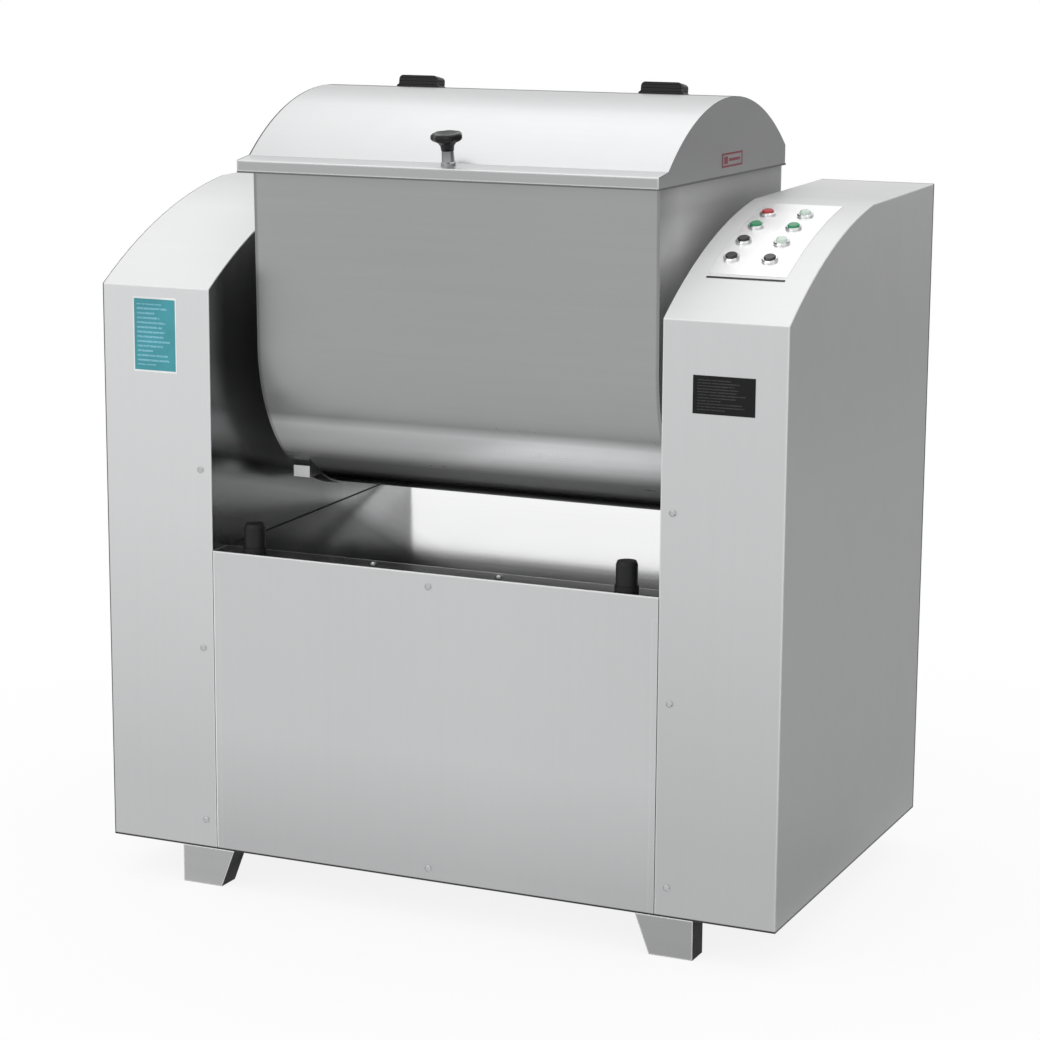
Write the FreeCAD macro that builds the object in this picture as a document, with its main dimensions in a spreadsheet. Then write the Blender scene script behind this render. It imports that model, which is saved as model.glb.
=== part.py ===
import FreeCAD, Part
import math
import os
from types import SimpleNamespace

import Sketcher

# Tilting trough dough mixer: two sheet steel columns, a lidded trough that hangs between them
# on hollow trunnions, a twisted two-bar mixing blade, its belt drive and the tilt drive.
# Millimetres. X to the right, Y to the back, Z up; the origin is at the middle of the floor print.

SIZES = {
    # columns and covers
    "overall_width": 1300,
    "overall_depth": 800,
    "column_width": 219,
    "column_back_height": 1271,
    "column_arc_radius": 1052,
    "column_arc_centre_y": 177,
    "column_back_fall": 8.3,
    "column_crease_y": 30,
    "casing_sheet": 2,
    "fold_radius": 1.2,
    "foot_height": 71,
    "panel_below_axis": 370,
    "panel_seam": 0.3,
    "panel_flange_depth": 54,
    "panel_tab": 45,
    "panel_tab_lap": 12,
    "deck_rise": 13,
    "rear_cover_upstand": 2,
    "inner_wall_skirt": 40,
    "inner_wall_flange": 34,
    "trunnion_window_radius": 56,
    "louvre_length": 120,
    "louvre_height": 7,
    "louvre_pitch": 26,
    "louvre_from_top": 150,
    "grommet_z": 170,
    "grommet_radius": 14,
    "grommet_lip": 4,
    "grommet_bore": 8,
    # feet
    "foot_outer_offset": 71,
    "foot_inner_offset": 36,
    "foot_toe_offset": 9,
    "foot_depth": 48,
    "foot_plate": 5,
    "foot_hole_offset": 37,
    "foot_hole_radius": 7,
    # base frame of channel steel
    "rail_height": 80,
    "rail_width": 50,
    "channel_wall": 5,
    "rail_end_gap": 10,
    "side_rail_gap": 14,
    "side_rail_width": 60,
    "motor_rail_inset": 105,
    "motor_rail_spacing": 210,
    "motor_rail_width": 40,
    # bearing stands
    "post_width": 60,
    "post_spacing": 410,
    "beam_height": 70,
    "bearing_centre_height": 89,
    "bearing_radius": 74,
    "bearing_base_length": 290,
    "bearing_base_height": 24,
    "bearing_side_gap": 2,
    "bearing_bolt_spacing": 230,
    "bearing_bolt_radius": 13,
    "bearing_bolt_head": 11,
    # trough
    "trough_axis_y": -7,
    "trough_axis_drop": 271,
    "trough_side_gap": 44,
    "trough_radius": 298,
    "trough_rise": 304,
    "trough_taper_deg": 1.3,
    "trough_sheet": 3,
    "trough_end_plate": 4,
    "rim_sheet": 3,
    "rim_front": 38,
    "rim_side": 12,
    "rim_rear": 5,
    "rim_corner_cut": 16,
    # lid
    "lid_sheet": 2,
    "lid_arc_radius": 459,
    "lid_arc_drop": 16,
    "lid_lip_height": 19,
    "lid_ledge_depth": 44,
    "lid_back_inset": 16,
    "lid_pad_inset": 145,
    "lid_pad_angle": 9.3,
    "lid_pad_foot_length": 88,
    "lid_pad_foot_height": 4,
    "lid_pad_length": 78,
    "lid_pad_width": 34,
    "lid_pad_height": 22,
    "lid_pad_corner": 8,
    "knob_stem_radius": 13,
    "knob_stem_height": 25,
    "knob_neck_radius": 11,
    "knob_head_radius": 28.5,
    "knob_height": 30.5,
    "knob_from_lip": 30,
    "knob_scallop_radius": 13,
    "knob_scallop_depth": 3.5,
    # lid hinges
    "hinge_inset": 127,
    "hinge_leaf_width": 72,
    "hinge_leaf_sheet": 4,
    "hinge_leaf_height": 44,
    "hinge_knuckle_radius": 8,
    "hinge_knuckle_middle": 26,
    "hinge_pin_radius": 4,
    "hinge_running": 0.05,
    "hinge_side_play": 0.3,
    "hinge_pin_back": 7,
    "hinge_pin_rise": 11,
    "hinge_arm_height": 26,
    # trunnions and mixing shaft
    "trunnion_radius": 40,
    "trunnion_bore": 31,
    "trunnion_flange_radius": 95,
    "trunnion_flange": 12,
    "trunnion_end_gap": 1,
    "trunnion_past_gear": 10,
    "trunnion_bolt_circle": 75,
    "trunnion_bolt_radius": 8,
    "trunnion_bolt_head": 6,
    "running_fit": 0.05,
    "shaft_radius": 27.5,
    "shaft_seal_radius": 44,
    "shaft_seal_reach": 34,
    "shaft_past_reducer": 19,
    "idle_shaft_inset": 5,
    # mixing blade
    "blade_clearance": 10,
    "blade_end_gap": 12,
    "blade_bar_depth": 44,
    "blade_bar_width": 60,
    "blade_bar_corner": 11,
    "blade_hub_radius": 62,
    "blade_arm_root": 40,
    "blade_arm_tip": 24,
    # main drive
    "reducer_input_drop": 180,
    "reducer_output_radius": 105,
    "reducer_input_radius": 78,
    "reducer_thickness": 76,
    "reducer_boss": 6,
    "reducer_boss_radius": 46,
    "reducer_rib": 10,
    "reducer_rib_thickness": 16,
    "pulley_gap": 12,
    "groove_pitch": 19,
    "groove_width": 13.6,
    "groove_depth": 11,
    "pulley_web": 12,
    "reducer_pulley_radius": 120,
    "motor_pulley_radius": 50,
    "belt_side_play": 0.3,
    "belt_height": 10,
    "reducer_input_shaft_radius": 16,
    "motor_axis_y": 0,
    "motor_centre_height": 112,
    "motor_base_plate": 10,
    "motor_radius": 98,
    "motor_nose_inset": 25,
    "motor_length": 350,
    "motor_flange_radius": 112,
    "motor_fan_cover": 60,
    "motor_shaft_radius": 14,
    "motor_shaft_socket": 60,
    "motor_fin_height": 9,
    "motor_fin_thickness": 4,
    "motor_foot_spread": 190,
    "motor_foot_length": 180,
    "motor_foot_height": 14,
    "motor_base_margin": 25,
    # tilt drive
    "gear_module": 6,
    "gear_gap": 13,
    "gear_thickness": 24,
    "gear_hub_radius": 62,
    "gear_backlash": 0.5,
    "gear_sector_start_deg": 158,
    "gear_sector_end_deg": 292,
    "gear_rim_depth": 22,
    "tilt_box_width": 130,
    "tilt_box_height": 141,
    "tilt_box_gap": 6,
    "tilt_shaft_radius": 15,
    "tilt_motor_radius": 55,
    "tilt_motor_length": 200,
    "tilt_motor_inset": 49,
    # electrical box
    "electric_box_gap": 21,
    "electric_box_bottom": 160,
    "electric_box_below_axis": 540,
    "electric_box_sheet": 2,
    "electric_door_gap": 6,
    "electric_rail_height": 35,
    # control panel
    "panel_plate": 1,
    "panel_inset": 35,
    "panel_width": 138,
    "panel_low_angle": 26.2,
    "panel_high_angle": 9.6,
    "button_inset": 59,
    "button_column_pitch": 68,
    "button_first_angle": 23.4,
    "button_row_pitch": 3.4,
    "button_radius": 10.5,
    "button_height": 8,
    "button_stem": 22,
    "bezel_radius": 14.5,
    "bezel_height": 5,
    "bezel_barrel": 12.5,
    "bezel_barrel_length": 30,
    "hole_clearance": 0.2,
    # bumpers and stop lug
    "bumper_inset": 71,
    "bumper_from_front": 30,
    "bumper_radius": 21,
    "bumper_height": 51,
    "bumper_foot": 8,
    "lug_inset": 31,
    "lug_width": 33,
    "lug_strap": 4,
    "lug_face_height": 21,
    "lug_face_reach": 194,
    "lug_face_drop": 241,
    "strap_start_deg": 229.5,
    "strap_end_deg": 262,
    # screws
    "screw_radius": 6,
    "screw_height": 3.5,
    "screw_from_edge": 22,
    "screw_low_z": 124,
    "screw_middle_z": 448,
    "screw_high_z": 776,
    "panel_screw_inset": 24,
    "flange_screw_x": 122,
    "flange_screw_back": 30,
}
LOUVRES = 9
GEAR_TEETH = 60
PINION_TEETH = 14
PRESSURE_ANGLE_DEG = 20
FLANK_STEPS = 4
BELTS = 2
SAME = 0.001
MOTOR_FINS = 16
KNOB_LOBES = 7
TRUNNION_BOLTS = 8
SIDES = {"left": -1, "right": 1}
BUTTONS = {
    "trough_down_button": (0, 0),
    "trough_up_button": (0, 1),
    "mix_start_button": (0, 2),
    "mix_stop_button": (0, 3),
    "mix_reverse_button": (1, 0),
    "jog_button": (1, 2),
}
LAMPS = {
    "run_lamp": (1, 1),
    "power_lamp": (1, 3),
}

os.makedirs("parts", exist_ok=True)
doc = FreeCAD.newDocument("dough_mixer")
sheet = doc.addObject("Spreadsheet::Sheet", "Sizes")
pieces = []


# Sizes as numbers and as expressions of the sheet

class Size:
    """A length or an angle, known as a number and as an expression of the sheet's cells."""

    def __init__(self, number, text):
        self.number = float(number)
        self.text = text

    def __add__(self, other):
        return joined(self, "+", other)

    def __radd__(self, other):
        return joined(other, "+", self)

    def __sub__(self, other):
        return joined(self, "-", other)

    def __rsub__(self, other):
        return joined(other, "-", self)

    def __mul__(self, other):
        return joined(self, "*", other)

    def __rmul__(self, other):
        return joined(other, "*", self)

    def __truediv__(self, other):
        return joined(self, "/", other)

    def __neg__(self):
        return joined(-1, "*", self)


def as_size(value):
    if isinstance(value, Size):
        return value
    return Size(value, f"({value})")


def joined(first, sign, second):
    first = as_size(first)
    second = as_size(second)
    a = first.number
    b = second.number
    if sign == "+":
        number = a + b
    elif sign == "-":
        number = a - b
    elif sign == "*":
        number = a * b
    else:
        number = a / b
    return Size(number, f"({first.text} {sign} {second.text})")


def root(value):
    return Size(math.sqrt(value.number), f"sqrt({value.text})")


def sine(angle):
    return Size(math.sin(math.radians(angle.number)), f"sin({angle.text})")


def cosine(angle):
    return Size(math.cos(math.radians(angle.number)), f"cos({angle.text})")


def tangent(angle):
    return Size(math.tan(math.radians(angle.number)), f"tan({angle.text})")


def write_sheet():
    """Puts each size in its own cell and gives the sizes back by name."""
    sizes = SimpleNamespace()
    for row, (alias, number) in enumerate(SIZES.items(), start=1):
        sheet.set(f"A{row}", alias)
        sheet.set(f"B{row}", str(number))
        sheet.setAlias(f"B{row}", alias)
        setattr(sizes, alias, Size(number, f"Sizes.{alias}"))
    doc.recompute()
    return sizes


# Sketches and features

def origin_item(body, role):
    for item in body.Origin.OriginFeatures:
        if item.Role == role:
            return item
    raise ValueError(role)


def new_body(label):
    body = doc.addObject("PartDesign::Body", label)
    body.Label = label
    return body


def keep(item):
    """Marks a finished sub-part, which becomes a file of its own."""
    pieces.append(item)
    return item


def place(item, x=0, y=0, z=0, turn=None):
    """Sets where an item stands, turned about the X direction by turn degrees."""
    if turn is not None:
        item.Placement = FreeCAD.Placement(
            FreeCAD.Vector(x=0, y=0, z=0), FreeCAD.Rotation(FreeCAD.Vector(1, 0, 0), turn.number))
        item.setExpression("Placement.Rotation.Angle", turn.text)
    item.setExpression("Placement.Base.x", as_size(x).text)
    item.setExpression("Placement.Base.y", as_size(y).text)
    item.setExpression("Placement.Base.z", as_size(z).text)


def fix_point(sketch, edge, end, across, up):
    for kind, value in (("DistanceX", across), ("DistanceY", up)):
        value = as_size(value)
        index = sketch.addConstraint(Sketcher.Constraint(kind, -1, 1, edge, end, value.number))
        sketch.setExpression(f"Constraints[{index}]", value.text)


def fix_radius(sketch, edge, radius):
    index = sketch.addConstraint(Sketcher.Constraint("Radius", edge, radius.number))
    sketch.setExpression(f"Constraints[{index}]", radius.text)


def draw_loop(sketch, corners):
    """Draws a closed loop. A corner is (across, up) or (across, up, arc); the arc
    (centre across, centre up, radius, turn) shapes the edge to the next corner."""
    first_edge = sketch.GeometryCount
    ends = []
    for number, corner in enumerate(corners):
        following = corners[(number + 1) % len(corners)]
        a = [as_size(value).number for value in corner[:2]]
        b = [as_size(value).number for value in following[:2]]
        if len(corner) == 2:
            edge = Part.LineSegment(FreeCAD.Vector(*a, 0), FreeCAD.Vector(*b, 0))
            sketch.addGeometry(edge, False)
            ends.append((1, 2))
            continue
        across, up, radius, turn = corner[2]
        centre = [as_size(across).number, as_size(up).number]
        angle_a = math.atan2(a[1] - centre[1], a[0] - centre[0])
        angle_b = math.atan2(b[1] - centre[1], b[0] - centre[0])
        if turn == "ccw":
            start, stop = angle_a, angle_b
            ends.append((1, 2))
        else:
            start, stop = angle_b, angle_a
            ends.append((2, 1))
        circle = Part.Circle(FreeCAD.Vector(*centre, 0), FreeCAD.Vector(0, 0, 1), radius.number)
        sketch.addGeometry(Part.ArcOfCircle(circle, start, stop), False)
    for number, corner in enumerate(corners):
        edge = first_edge + number
        before = first_edge + (number - 1) % len(corners)
        end_before = ends[(number - 1) % len(corners)][1]
        sketch.addConstraint(Sketcher.Constraint("Coincident", before, end_before, edge, ends[number][0]))
        fix_point(sketch, edge, ends[number][0], corner[0], corner[1])
        if len(corner) > 2:
            fix_radius(sketch, edge, as_size(corner[2][2]))


def draw_circle(sketch, across, up, radius):
    centre = FreeCAD.Vector(as_size(across).number, as_size(up).number, 0)
    edge = sketch.addGeometry(Part.Circle(centre, FreeCAD.Vector(0, 0, 1), radius.number), False)
    fix_point(sketch, edge, 3, across, up)
    fix_radius(sketch, edge, radius)


def new_sketch(body, plane, offset=None):
    sketch = body.newObject("Sketcher::SketchObject", f"{body.Label}_sketch")
    sketch.AttachmentSupport = (origin_item(body, plane), [""])
    sketch.MapMode = "FlatFace"
    if offset is not None:
        sketch.setExpression("AttachmentOffset.Base.z", offset.text)
    return sketch


def rectangle(low_across, low_up, high_across, high_up):
    return [(low_across, low_up), (high_across, low_up), (high_across, high_up), (low_across, high_up)]


def add_slab(body, plane, loops, low, thickness, circles=(), cut=False):
    """Pads (or pockets) loops drawn on a plane, from low to low + thickness along its normal."""
    low = as_size(low)
    thickness = as_size(thickness)
    backwards = plane == "XZ_Plane"
    offset = -(low + thickness) if backwards else low
    sketch = new_sketch(body, plane, offset)
    for loop in loops:
        draw_loop(sketch, loop)
    for circle in circles:
        draw_circle(sketch, *circle)
    kind = "PartDesign::Pocket" if cut else "PartDesign::Pad"
    feature = body.newObject(kind, f"{body.Label}_slab")
    feature.Profile = sketch
    feature.setExpression("Length", thickness.text)
    if cut:
        feature.Reversed = True
    return feature


def add_turned(body, corners, axis="V_Axis"):
    """Revolves a half outline, drawn on the XZ plane, about its own axis."""
    sketch = new_sketch(body, "XZ_Plane")
    draw_loop(sketch, corners)
    feature = body.newObject("PartDesign::Revolution", f"{body.Label}_turned")
    feature.Profile = sketch
    feature.ReferenceAxis = (sketch, [axis])
    feature.Angle = 360
    return feature


def soften(body, radius, chosen):
    """Rounds the edges of a body that the test picks, such as the folds of a sheet."""
    doc.recompute()
    tip = body.Tip
    names = []
    for number, edge in enumerate(tip.Shape.Edges, start=1):
        if chosen(edge):
            names.append(f"Edge{number}")
    feature = body.newObject("PartDesign::Fillet", f"{body.Label}_folds")
    feature.Base = (tip, names)
    feature.setExpression("Radius", radius.text)
    return feature


def all_at(edge, **places):
    """True if both ends and the middle of an edge lie at the given coordinates."""
    middle = edge.valueAt((edge.FirstParameter + edge.LastParameter) / 2)
    points = [vertex.Point for vertex in edge.Vertexes] + [middle]
    return all(abs(getattr(point, axis) - value.number) < SAME
               for point in points for axis, value in places.items())


def turned_piece(label, corners, axis="V_Axis"):
    body = new_body(label)
    add_turned(body, corners, axis)
    return body


def group(label, members):
    """Joins separate solids, such as like screws, into one named sub-part."""
    compound = doc.addObject("Part::Compound", label)
    compound.Label = label
    compound.Links = members
    return keep(compound)


def cylinder(label, radius, height, x, y, z, turn):
    item = doc.addObject("Part::Cylinder", label)
    item.setExpression("Radius", radius.text)
    item.setExpression("Height", height.text)
    place(item, x, y, z, turn)
    return item


def span(side, near, far):
    """The lower X of a stretch that runs from near to far on one side of the middle."""
    return near if side > 0 else -1 * far


s = write_sheet()
TO_FRONT = Size(90, "(90)")
TO_BACK = Size(-90, "(-90)")
ONE_THIRD_RIGHT = Size(30, "(30)")

# Places that many pieces share
front_y = -1 * s.overall_depth / 2
back_y = s.overall_depth / 2
far_x = s.overall_width / 2
near_x = far_x - s.column_width
front_in_y = front_y + s.casing_sheet
back_in_y = back_y - s.casing_sheet
crease_z = s.column_back_height - s.column_back_fall
crease_across = s.column_crease_y - s.column_arc_centre_y
arc_centre_z = crease_z - root(s.column_arc_radius * s.column_arc_radius - crease_across * crease_across)
axis_z = s.column_back_height - s.trough_axis_drop
panel_top = axis_z - s.panel_below_axis
rail_top = s.foot_height + s.rail_height
rim_top = axis_z + s.trough_rise + s.rim_sheet
trough_half = near_x - s.trough_side_gap
beam_top = axis_z - s.bearing_centre_height
beam_bottom = beam_top - s.beam_height
post_near_x = near_x + s.side_rail_gap
post_far_x = post_near_x + s.side_rail_width
reducer_far_x = post_far_x + s.reducer_thickness
pulley_inner_x = reducer_far_x + s.pulley_gap
gear_inner_x = post_far_x + s.gear_gap
motor_nose_x = post_near_x + s.motor_nose_inset
motor_rail_x = post_near_x - s.motor_rail_inset
overrun = 1


def arc_height(y, radius):
    """Height of the columns' curved top, or of a curve inside it, at a depth."""
    across = y - s.column_arc_centre_y
    return arc_centre_z + root(radius * radius - across * across)


def column_arc(radius, turn):
    return (s.column_arc_centre_y, arc_centre_z, radius, turn)


def column_outline(front, bottom, back, radius, back_height):
    """Side view of a column: upright front, curved top, crease and slightly rising back stretch."""
    return [
        (front, bottom),
        (front, arc_height(front, radius), column_arc(radius, "cw")),
        (s.column_crease_y, arc_height(s.column_crease_y, radius)),
        (back, back_height),
        (back, bottom),
    ]


# Columns

def column_casing(name, side):
    """Front, curved top and outer side, folded and welded into one sheet shell."""
    label = f"{name}_column_casing"
    body = new_body(label if side < 0 else "right_casing_shell")
    inner_radius = s.column_arc_radius - s.casing_sheet
    inner_back = s.column_back_height - s.casing_sheet
    wrap = [
        (front_y, s.foot_height),
        (front_y, arc_height(front_y, s.column_arc_radius), column_arc(s.column_arc_radius, "cw")),
        (s.column_crease_y, arc_height(s.column_crease_y, s.column_arc_radius)),
        (back_y, s.column_back_height),
        (back_y, inner_back),
        (s.column_crease_y, arc_height(s.column_crease_y, inner_radius),
         column_arc(inner_radius, "ccw")),
        (front_in_y, arc_height(front_in_y, inner_radius)),
        (front_in_y, s.foot_height),
    ]
    add_slab(body, "YZ_Plane", [wrap], span(side, near_x, far_x), s.column_width)
    outline = column_outline(front_y, s.foot_height, back_y, s.column_arc_radius, s.column_back_height)
    skin = span(side, far_x - s.casing_sheet, far_x)
    add_slab(body, "YZ_Plane", [outline], skin, s.casing_sheet)

    def folded(edge):
        upright_back = all_at(edge, y=back_y)
        bottom = all_at(edge, z=s.foot_height)
        return all_at(edge, x=side * far_x) and not upright_back and not bottom

    soften(body, s.fold_radius, folded)
    return body


def inner_wall(name, side):
    """Flat sheet beside the trough, with a window for the trunnion and a flange behind the front."""
    body = new_body(f"{name}_inner_wall")
    bottom = panel_top - s.inner_wall_skirt
    radius = s.column_arc_radius - s.casing_sheet
    outline = column_outline(front_in_y, bottom, back_y, radius, s.column_back_height - s.casing_sheet)
    window = (s.trough_axis_y, axis_z, s.trunnion_window_radius)
    low = span(side, near_x, near_x + s.casing_sheet)
    add_slab(body, "YZ_Plane", [outline], low, s.casing_sheet, circles=[window])
    flange_top = arc_height(front_in_y + s.casing_sheet, radius) - s.casing_sheet
    flange_low = span(side, near_x, near_x + s.inner_wall_flange)
    flange = rectangle(flange_low, bottom, flange_low + s.inner_wall_flange, flange_top)
    add_slab(body, "XZ_Plane", [flange], front_in_y, s.casing_sheet)
    keep(body)


def louvre_loops(centre_x, top_z):
    loops = []
    for number in range(LOUVRES):
        low = top_z - s.louvre_from_top - number * s.louvre_pitch
        loops.append(rectangle(centre_x - s.louvre_length / 2, low,
                               centre_x + s.louvre_length / 2, low + s.louvre_height))
    return loops


def column_rear_cover(name, side):
    body = new_body(f"{name}_rear_cover")
    low = span(side, near_x + s.casing_sheet, far_x - s.casing_sheet)
    width = s.column_width - 2 * s.casing_sheet
    top = s.column_back_height - s.casing_sheet
    loops = [rectangle(low, s.foot_height, low + width, top)]
    loops += louvre_loops(low + width / 2, top)
    circles = []
    if side > 0:
        circles.append((low + width / 2, s.grommet_z, s.grommet_radius))
    add_slab(body, "XZ_Plane", loops, back_in_y, s.casing_sheet, circles=circles)
    keep(body)


def cable_grommet():
    """Rubber bush for the mains cable at the foot of the right rear cover; its bore is empty."""
    waist = s.grommet_radius - s.hole_clearance
    lip = s.grommet_radius + s.grommet_lip
    inside = -1 * s.casing_sheet - s.screw_height
    corners = [
        (s.grommet_bore, inside),
        (lip, inside),
        (lip, -1 * s.casing_sheet),
        (waist, -1 * s.casing_sheet),
        (waist, 0),
        (lip, 0),
        (waist, s.screw_height),
        (s.grommet_bore, s.screw_height),
    ]
    body = turned_piece("cable_grommet", corners)
    place(body, (near_x + far_x) / 2, back_y, s.grommet_z, TO_BACK)
    keep(body)


def front_panel():
    """Flush panel between the columns, with a top flange and tabs behind the casings' edges."""
    body = new_body("front_panel")
    half = near_x - s.panel_seam
    face = rectangle(-1 * half, s.foot_height, half, panel_top)
    add_slab(body, "XZ_Plane", [face], front_y, s.casing_sheet)
    flange_depth = s.panel_flange_depth - s.casing_sheet
    flange = rectangle(-1 * half, front_in_y, half, front_in_y + flange_depth)
    add_slab(body, "XY_Plane", [flange], panel_top - s.casing_sheet, s.casing_sheet)
    for side in SIDES.values():
        low = span(side, near_x - s.panel_tab_lap, near_x + s.panel_tab)
        tab = rectangle(low, s.foot_height, low + s.panel_tab_lap + s.panel_tab,
                        panel_top - s.inner_wall_skirt)
        add_slab(body, "XZ_Plane", [tab], front_in_y, s.casing_sheet)
    soften(body, s.fold_radius, lambda edge: all_at(edge, y=front_y, z=panel_top))
    keep(body)


def deck():
    """Sheet under the trough: flat below the panel's flange, then rising gently to the back."""
    body = new_body("deck")
    flat_back = front_y + s.panel_flange_depth
    top = panel_top - s.casing_sheet
    front = front_in_y + s.casing_sheet
    profile = [
        (front, top - s.casing_sheet),
        (flat_back, top - s.casing_sheet),
        (back_in_y, top + s.deck_rise - s.casing_sheet),
        (back_in_y, top + s.deck_rise),
        (flat_back, top),
        (front, top),
    ]
    add_slab(body, "YZ_Plane", [profile], -1 * near_x, 2 * near_x)
    keep(body)


def base_rear_cover():
    body = new_body("base_rear_cover")
    half = near_x - s.panel_seam
    top = panel_top + s.deck_rise + s.rear_cover_upstand
    loops = [rectangle(-1 * half, s.foot_height, half, top)]
    for centre in (-1 * near_x / 2, near_x / 2):
        loops += louvre_loops(centre, top)
    add_slab(body, "XZ_Plane", loops, back_in_y, s.casing_sheet)
    keep(body)


# Feet and base frame

def foot(row, name, side):
    """Folded plate foot with a slanted inner edge, open at the top and towards the machine's middle."""
    body = new_body(f"{row}_{name}_foot")
    foot_outer_x = near_x + s.foot_outer_offset
    foot_inner_x = near_x - s.foot_inner_offset
    foot_toe_x = near_x - s.foot_toe_offset
    foot_hole_x = near_x + s.foot_hole_offset
    low = front_y if row == "front" else back_y - s.foot_depth
    outline = [
        (side * foot_inner_x, s.foot_height),
        (side * foot_toe_x, 0),
        (side * foot_outer_x, 0),
        (side * foot_outer_x, s.foot_height),
    ]
    add_slab(body, "XZ_Plane", [outline], low, s.foot_depth)
    hollow = [
        (side * (foot_inner_x + s.foot_plate), s.foot_height),
        (side * (foot_toe_x + s.foot_plate), s.foot_plate),
        (side * (foot_outer_x - s.foot_plate), s.foot_plate),
        (side * (foot_outer_x - s.foot_plate), s.foot_height),
    ]
    hollow_low = low + s.foot_plate if row == "front" else low
    add_slab(body, "XZ_Plane", [hollow], hollow_low, s.foot_depth - s.foot_plate, cut=True)
    hole = (side * foot_hole_x, low + s.foot_depth / 2, s.foot_hole_radius)
    add_slab(body, "XY_Plane", [], -1 * overrun, s.foot_plate + 2 * overrun, circles=[hole], cut=True)
    keep(body)


def channel(low_across, low_up, width, height, open_to):
    """Channel section with its web on one side and its open side on the other."""
    wall = s.channel_wall
    a, b = low_across, low_up
    c, d = low_across + width, low_up + height
    sections = {
        "high": [(a, b), (c, b), (c, b + wall), (a + wall, b + wall), (a + wall, d - wall),
                 (c, d - wall), (c, d), (a, d)],
        "low": [(c, b), (c, d), (a, d), (a, d - wall), (c - wall, d - wall), (c - wall, b + wall),
                (a, b + wall), (a, b)],
        "down": [(a, b), (a + wall, b), (a + wall, d - wall), (c - wall, d - wall), (c - wall, b),
                 (c, b), (c, d), (a, d)],
    }
    return sections[open_to]


def base_frame():
    """Welded floor frame of channel steel: two long rails, two side rails and two motor rails."""
    body = new_body("base_frame")
    rail_front = front_in_y + s.casing_sheet
    rail_back = back_in_y - s.rail_width
    rail_half = far_x - s.casing_sheet - s.rail_end_gap
    for low, open_to in ((rail_front, "high"), (rail_back, "low")):
        section = channel(low, s.foot_height, s.rail_width, s.rail_height, open_to)
        add_slab(body, "YZ_Plane", [section], -1 * rail_half, 2 * rail_half)
    inner_front = rail_front + s.rail_width
    length = rail_back - inner_front
    for side in SIDES.values():
        low = span(side, post_near_x, post_far_x)
        open_to = "low" if side > 0 else "high"
        section = channel(low, s.foot_height, s.side_rail_width, s.rail_height, open_to)
        add_slab(body, "XZ_Plane", [section], inner_front, length)
    for number in range(2):
        low = -1 * motor_rail_x + number * s.motor_rail_spacing
        section = channel(low, s.foot_height, s.motor_rail_width, s.rail_height, "high")
        add_slab(body, "XZ_Plane", [section], inner_front, length)
    keep(body)


def bearing_stand(name, side):
    """Two channel posts on the side rail, joined by a channel beam under the bearing."""
    body = new_body(f"{name}_bearing_stand")
    low = span(side, post_near_x, post_far_x)
    half = s.post_spacing / 2 + s.post_width / 2
    for centre, open_to in ((-1 * s.post_spacing / 2, "high"), (s.post_spacing / 2, "low")):
        low_y = centre - s.post_width / 2 + s.trough_axis_y
        wall = s.channel_wall
        x_low, x_high = low, low + s.side_rail_width
        y_low, y_high = low_y, low_y + s.post_width
        web_low, web_high = (y_low, y_low + wall)
        if open_to == "low":
            web_low, web_high = (y_high - wall, y_high)
        if open_to == "high":
            section = [(x_low, y_low), (x_high, y_low), (x_high, y_high), (x_high - wall, y_high),
                       (x_high - wall, web_high), (x_low + wall, web_high), (x_low + wall, y_high),
                       (x_low, y_high)]
        else:
            section = [(x_low, y_low), (x_low + wall, y_low), (x_low + wall, web_low),
                       (x_high - wall, web_low), (x_high - wall, y_low), (x_high, y_low),
                       (x_high, y_high), (x_low, y_high)]
        add_slab(body, "XY_Plane", [section], rail_top, beam_bottom - rail_top)
    beam = channel(low, beam_bottom, s.side_rail_width, s.beam_height, "down")
    add_slab(body, "XZ_Plane", [beam], s.trough_axis_y - half, 2 * half)
    keep(body)


def pillow_block(name, side):
    """Cast bearing housing: a round body on a long foot, bored for the trunnion."""
    body = new_body(f"{name}_trunnion_bearing")
    low = span(side, post_near_x + s.bearing_side_gap, post_far_x - s.bearing_side_gap)
    thickness = s.side_rail_width - 2 * s.bearing_side_gap
    bore = (s.trough_axis_y, axis_z, s.trunnion_radius + s.running_fit)
    half = s.bearing_base_length / 2
    foot_top = beam_top + s.bearing_base_height
    drop = foot_top - axis_z
    shoulder = root(s.bearing_radius * s.bearing_radius - drop * drop)
    y = s.trough_axis_y
    outline = [
        (y - half, beam_top),
        (y + half, beam_top),
        (y + half, foot_top),
        (y + shoulder, foot_top, (y, axis_z, s.bearing_radius, "ccw")),
        (y - shoulder, foot_top),
        (y - half, foot_top),
    ]
    add_slab(body, "YZ_Plane", [outline], low, thickness, circles=[bore])
    keep(body)


def bearing_bolts():
    bolts = []
    height = beam_top + s.bearing_base_height
    for side in SIDES.values():
        for end in (-1, 1):
            body = new_body("bearing_bolt")
            corners = hexagon(s.bearing_bolt_radius)
            add_slab(body, "XY_Plane", [corners], 0, s.bearing_bolt_head)
            place(body, side * (post_near_x + s.side_rail_width / 2),
                  s.trough_axis_y + end * s.bearing_bolt_spacing / 2, height)
            bolts.append(body)
    group("bearing_bolts", bolts)


def hexagon(radius):
    corners = []
    for number in range(6):
        angle = Size(60 * number, f"({60 * number})")
        corners.append((radius * cosine(angle), radius * sine(angle)))
    return corners


# Trough

def trough_wall(radius, rise):
    """Half of the trough's outline as the tangent point and the top point, about its axis."""
    taper = s.trough_taper_deg
    low = (radius * cosine(taper), radius * sine(taper))
    high = (radius * cosine(taper) + (rise - radius * sine(taper)) * tangent(taper), rise)
    return low, high


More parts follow.
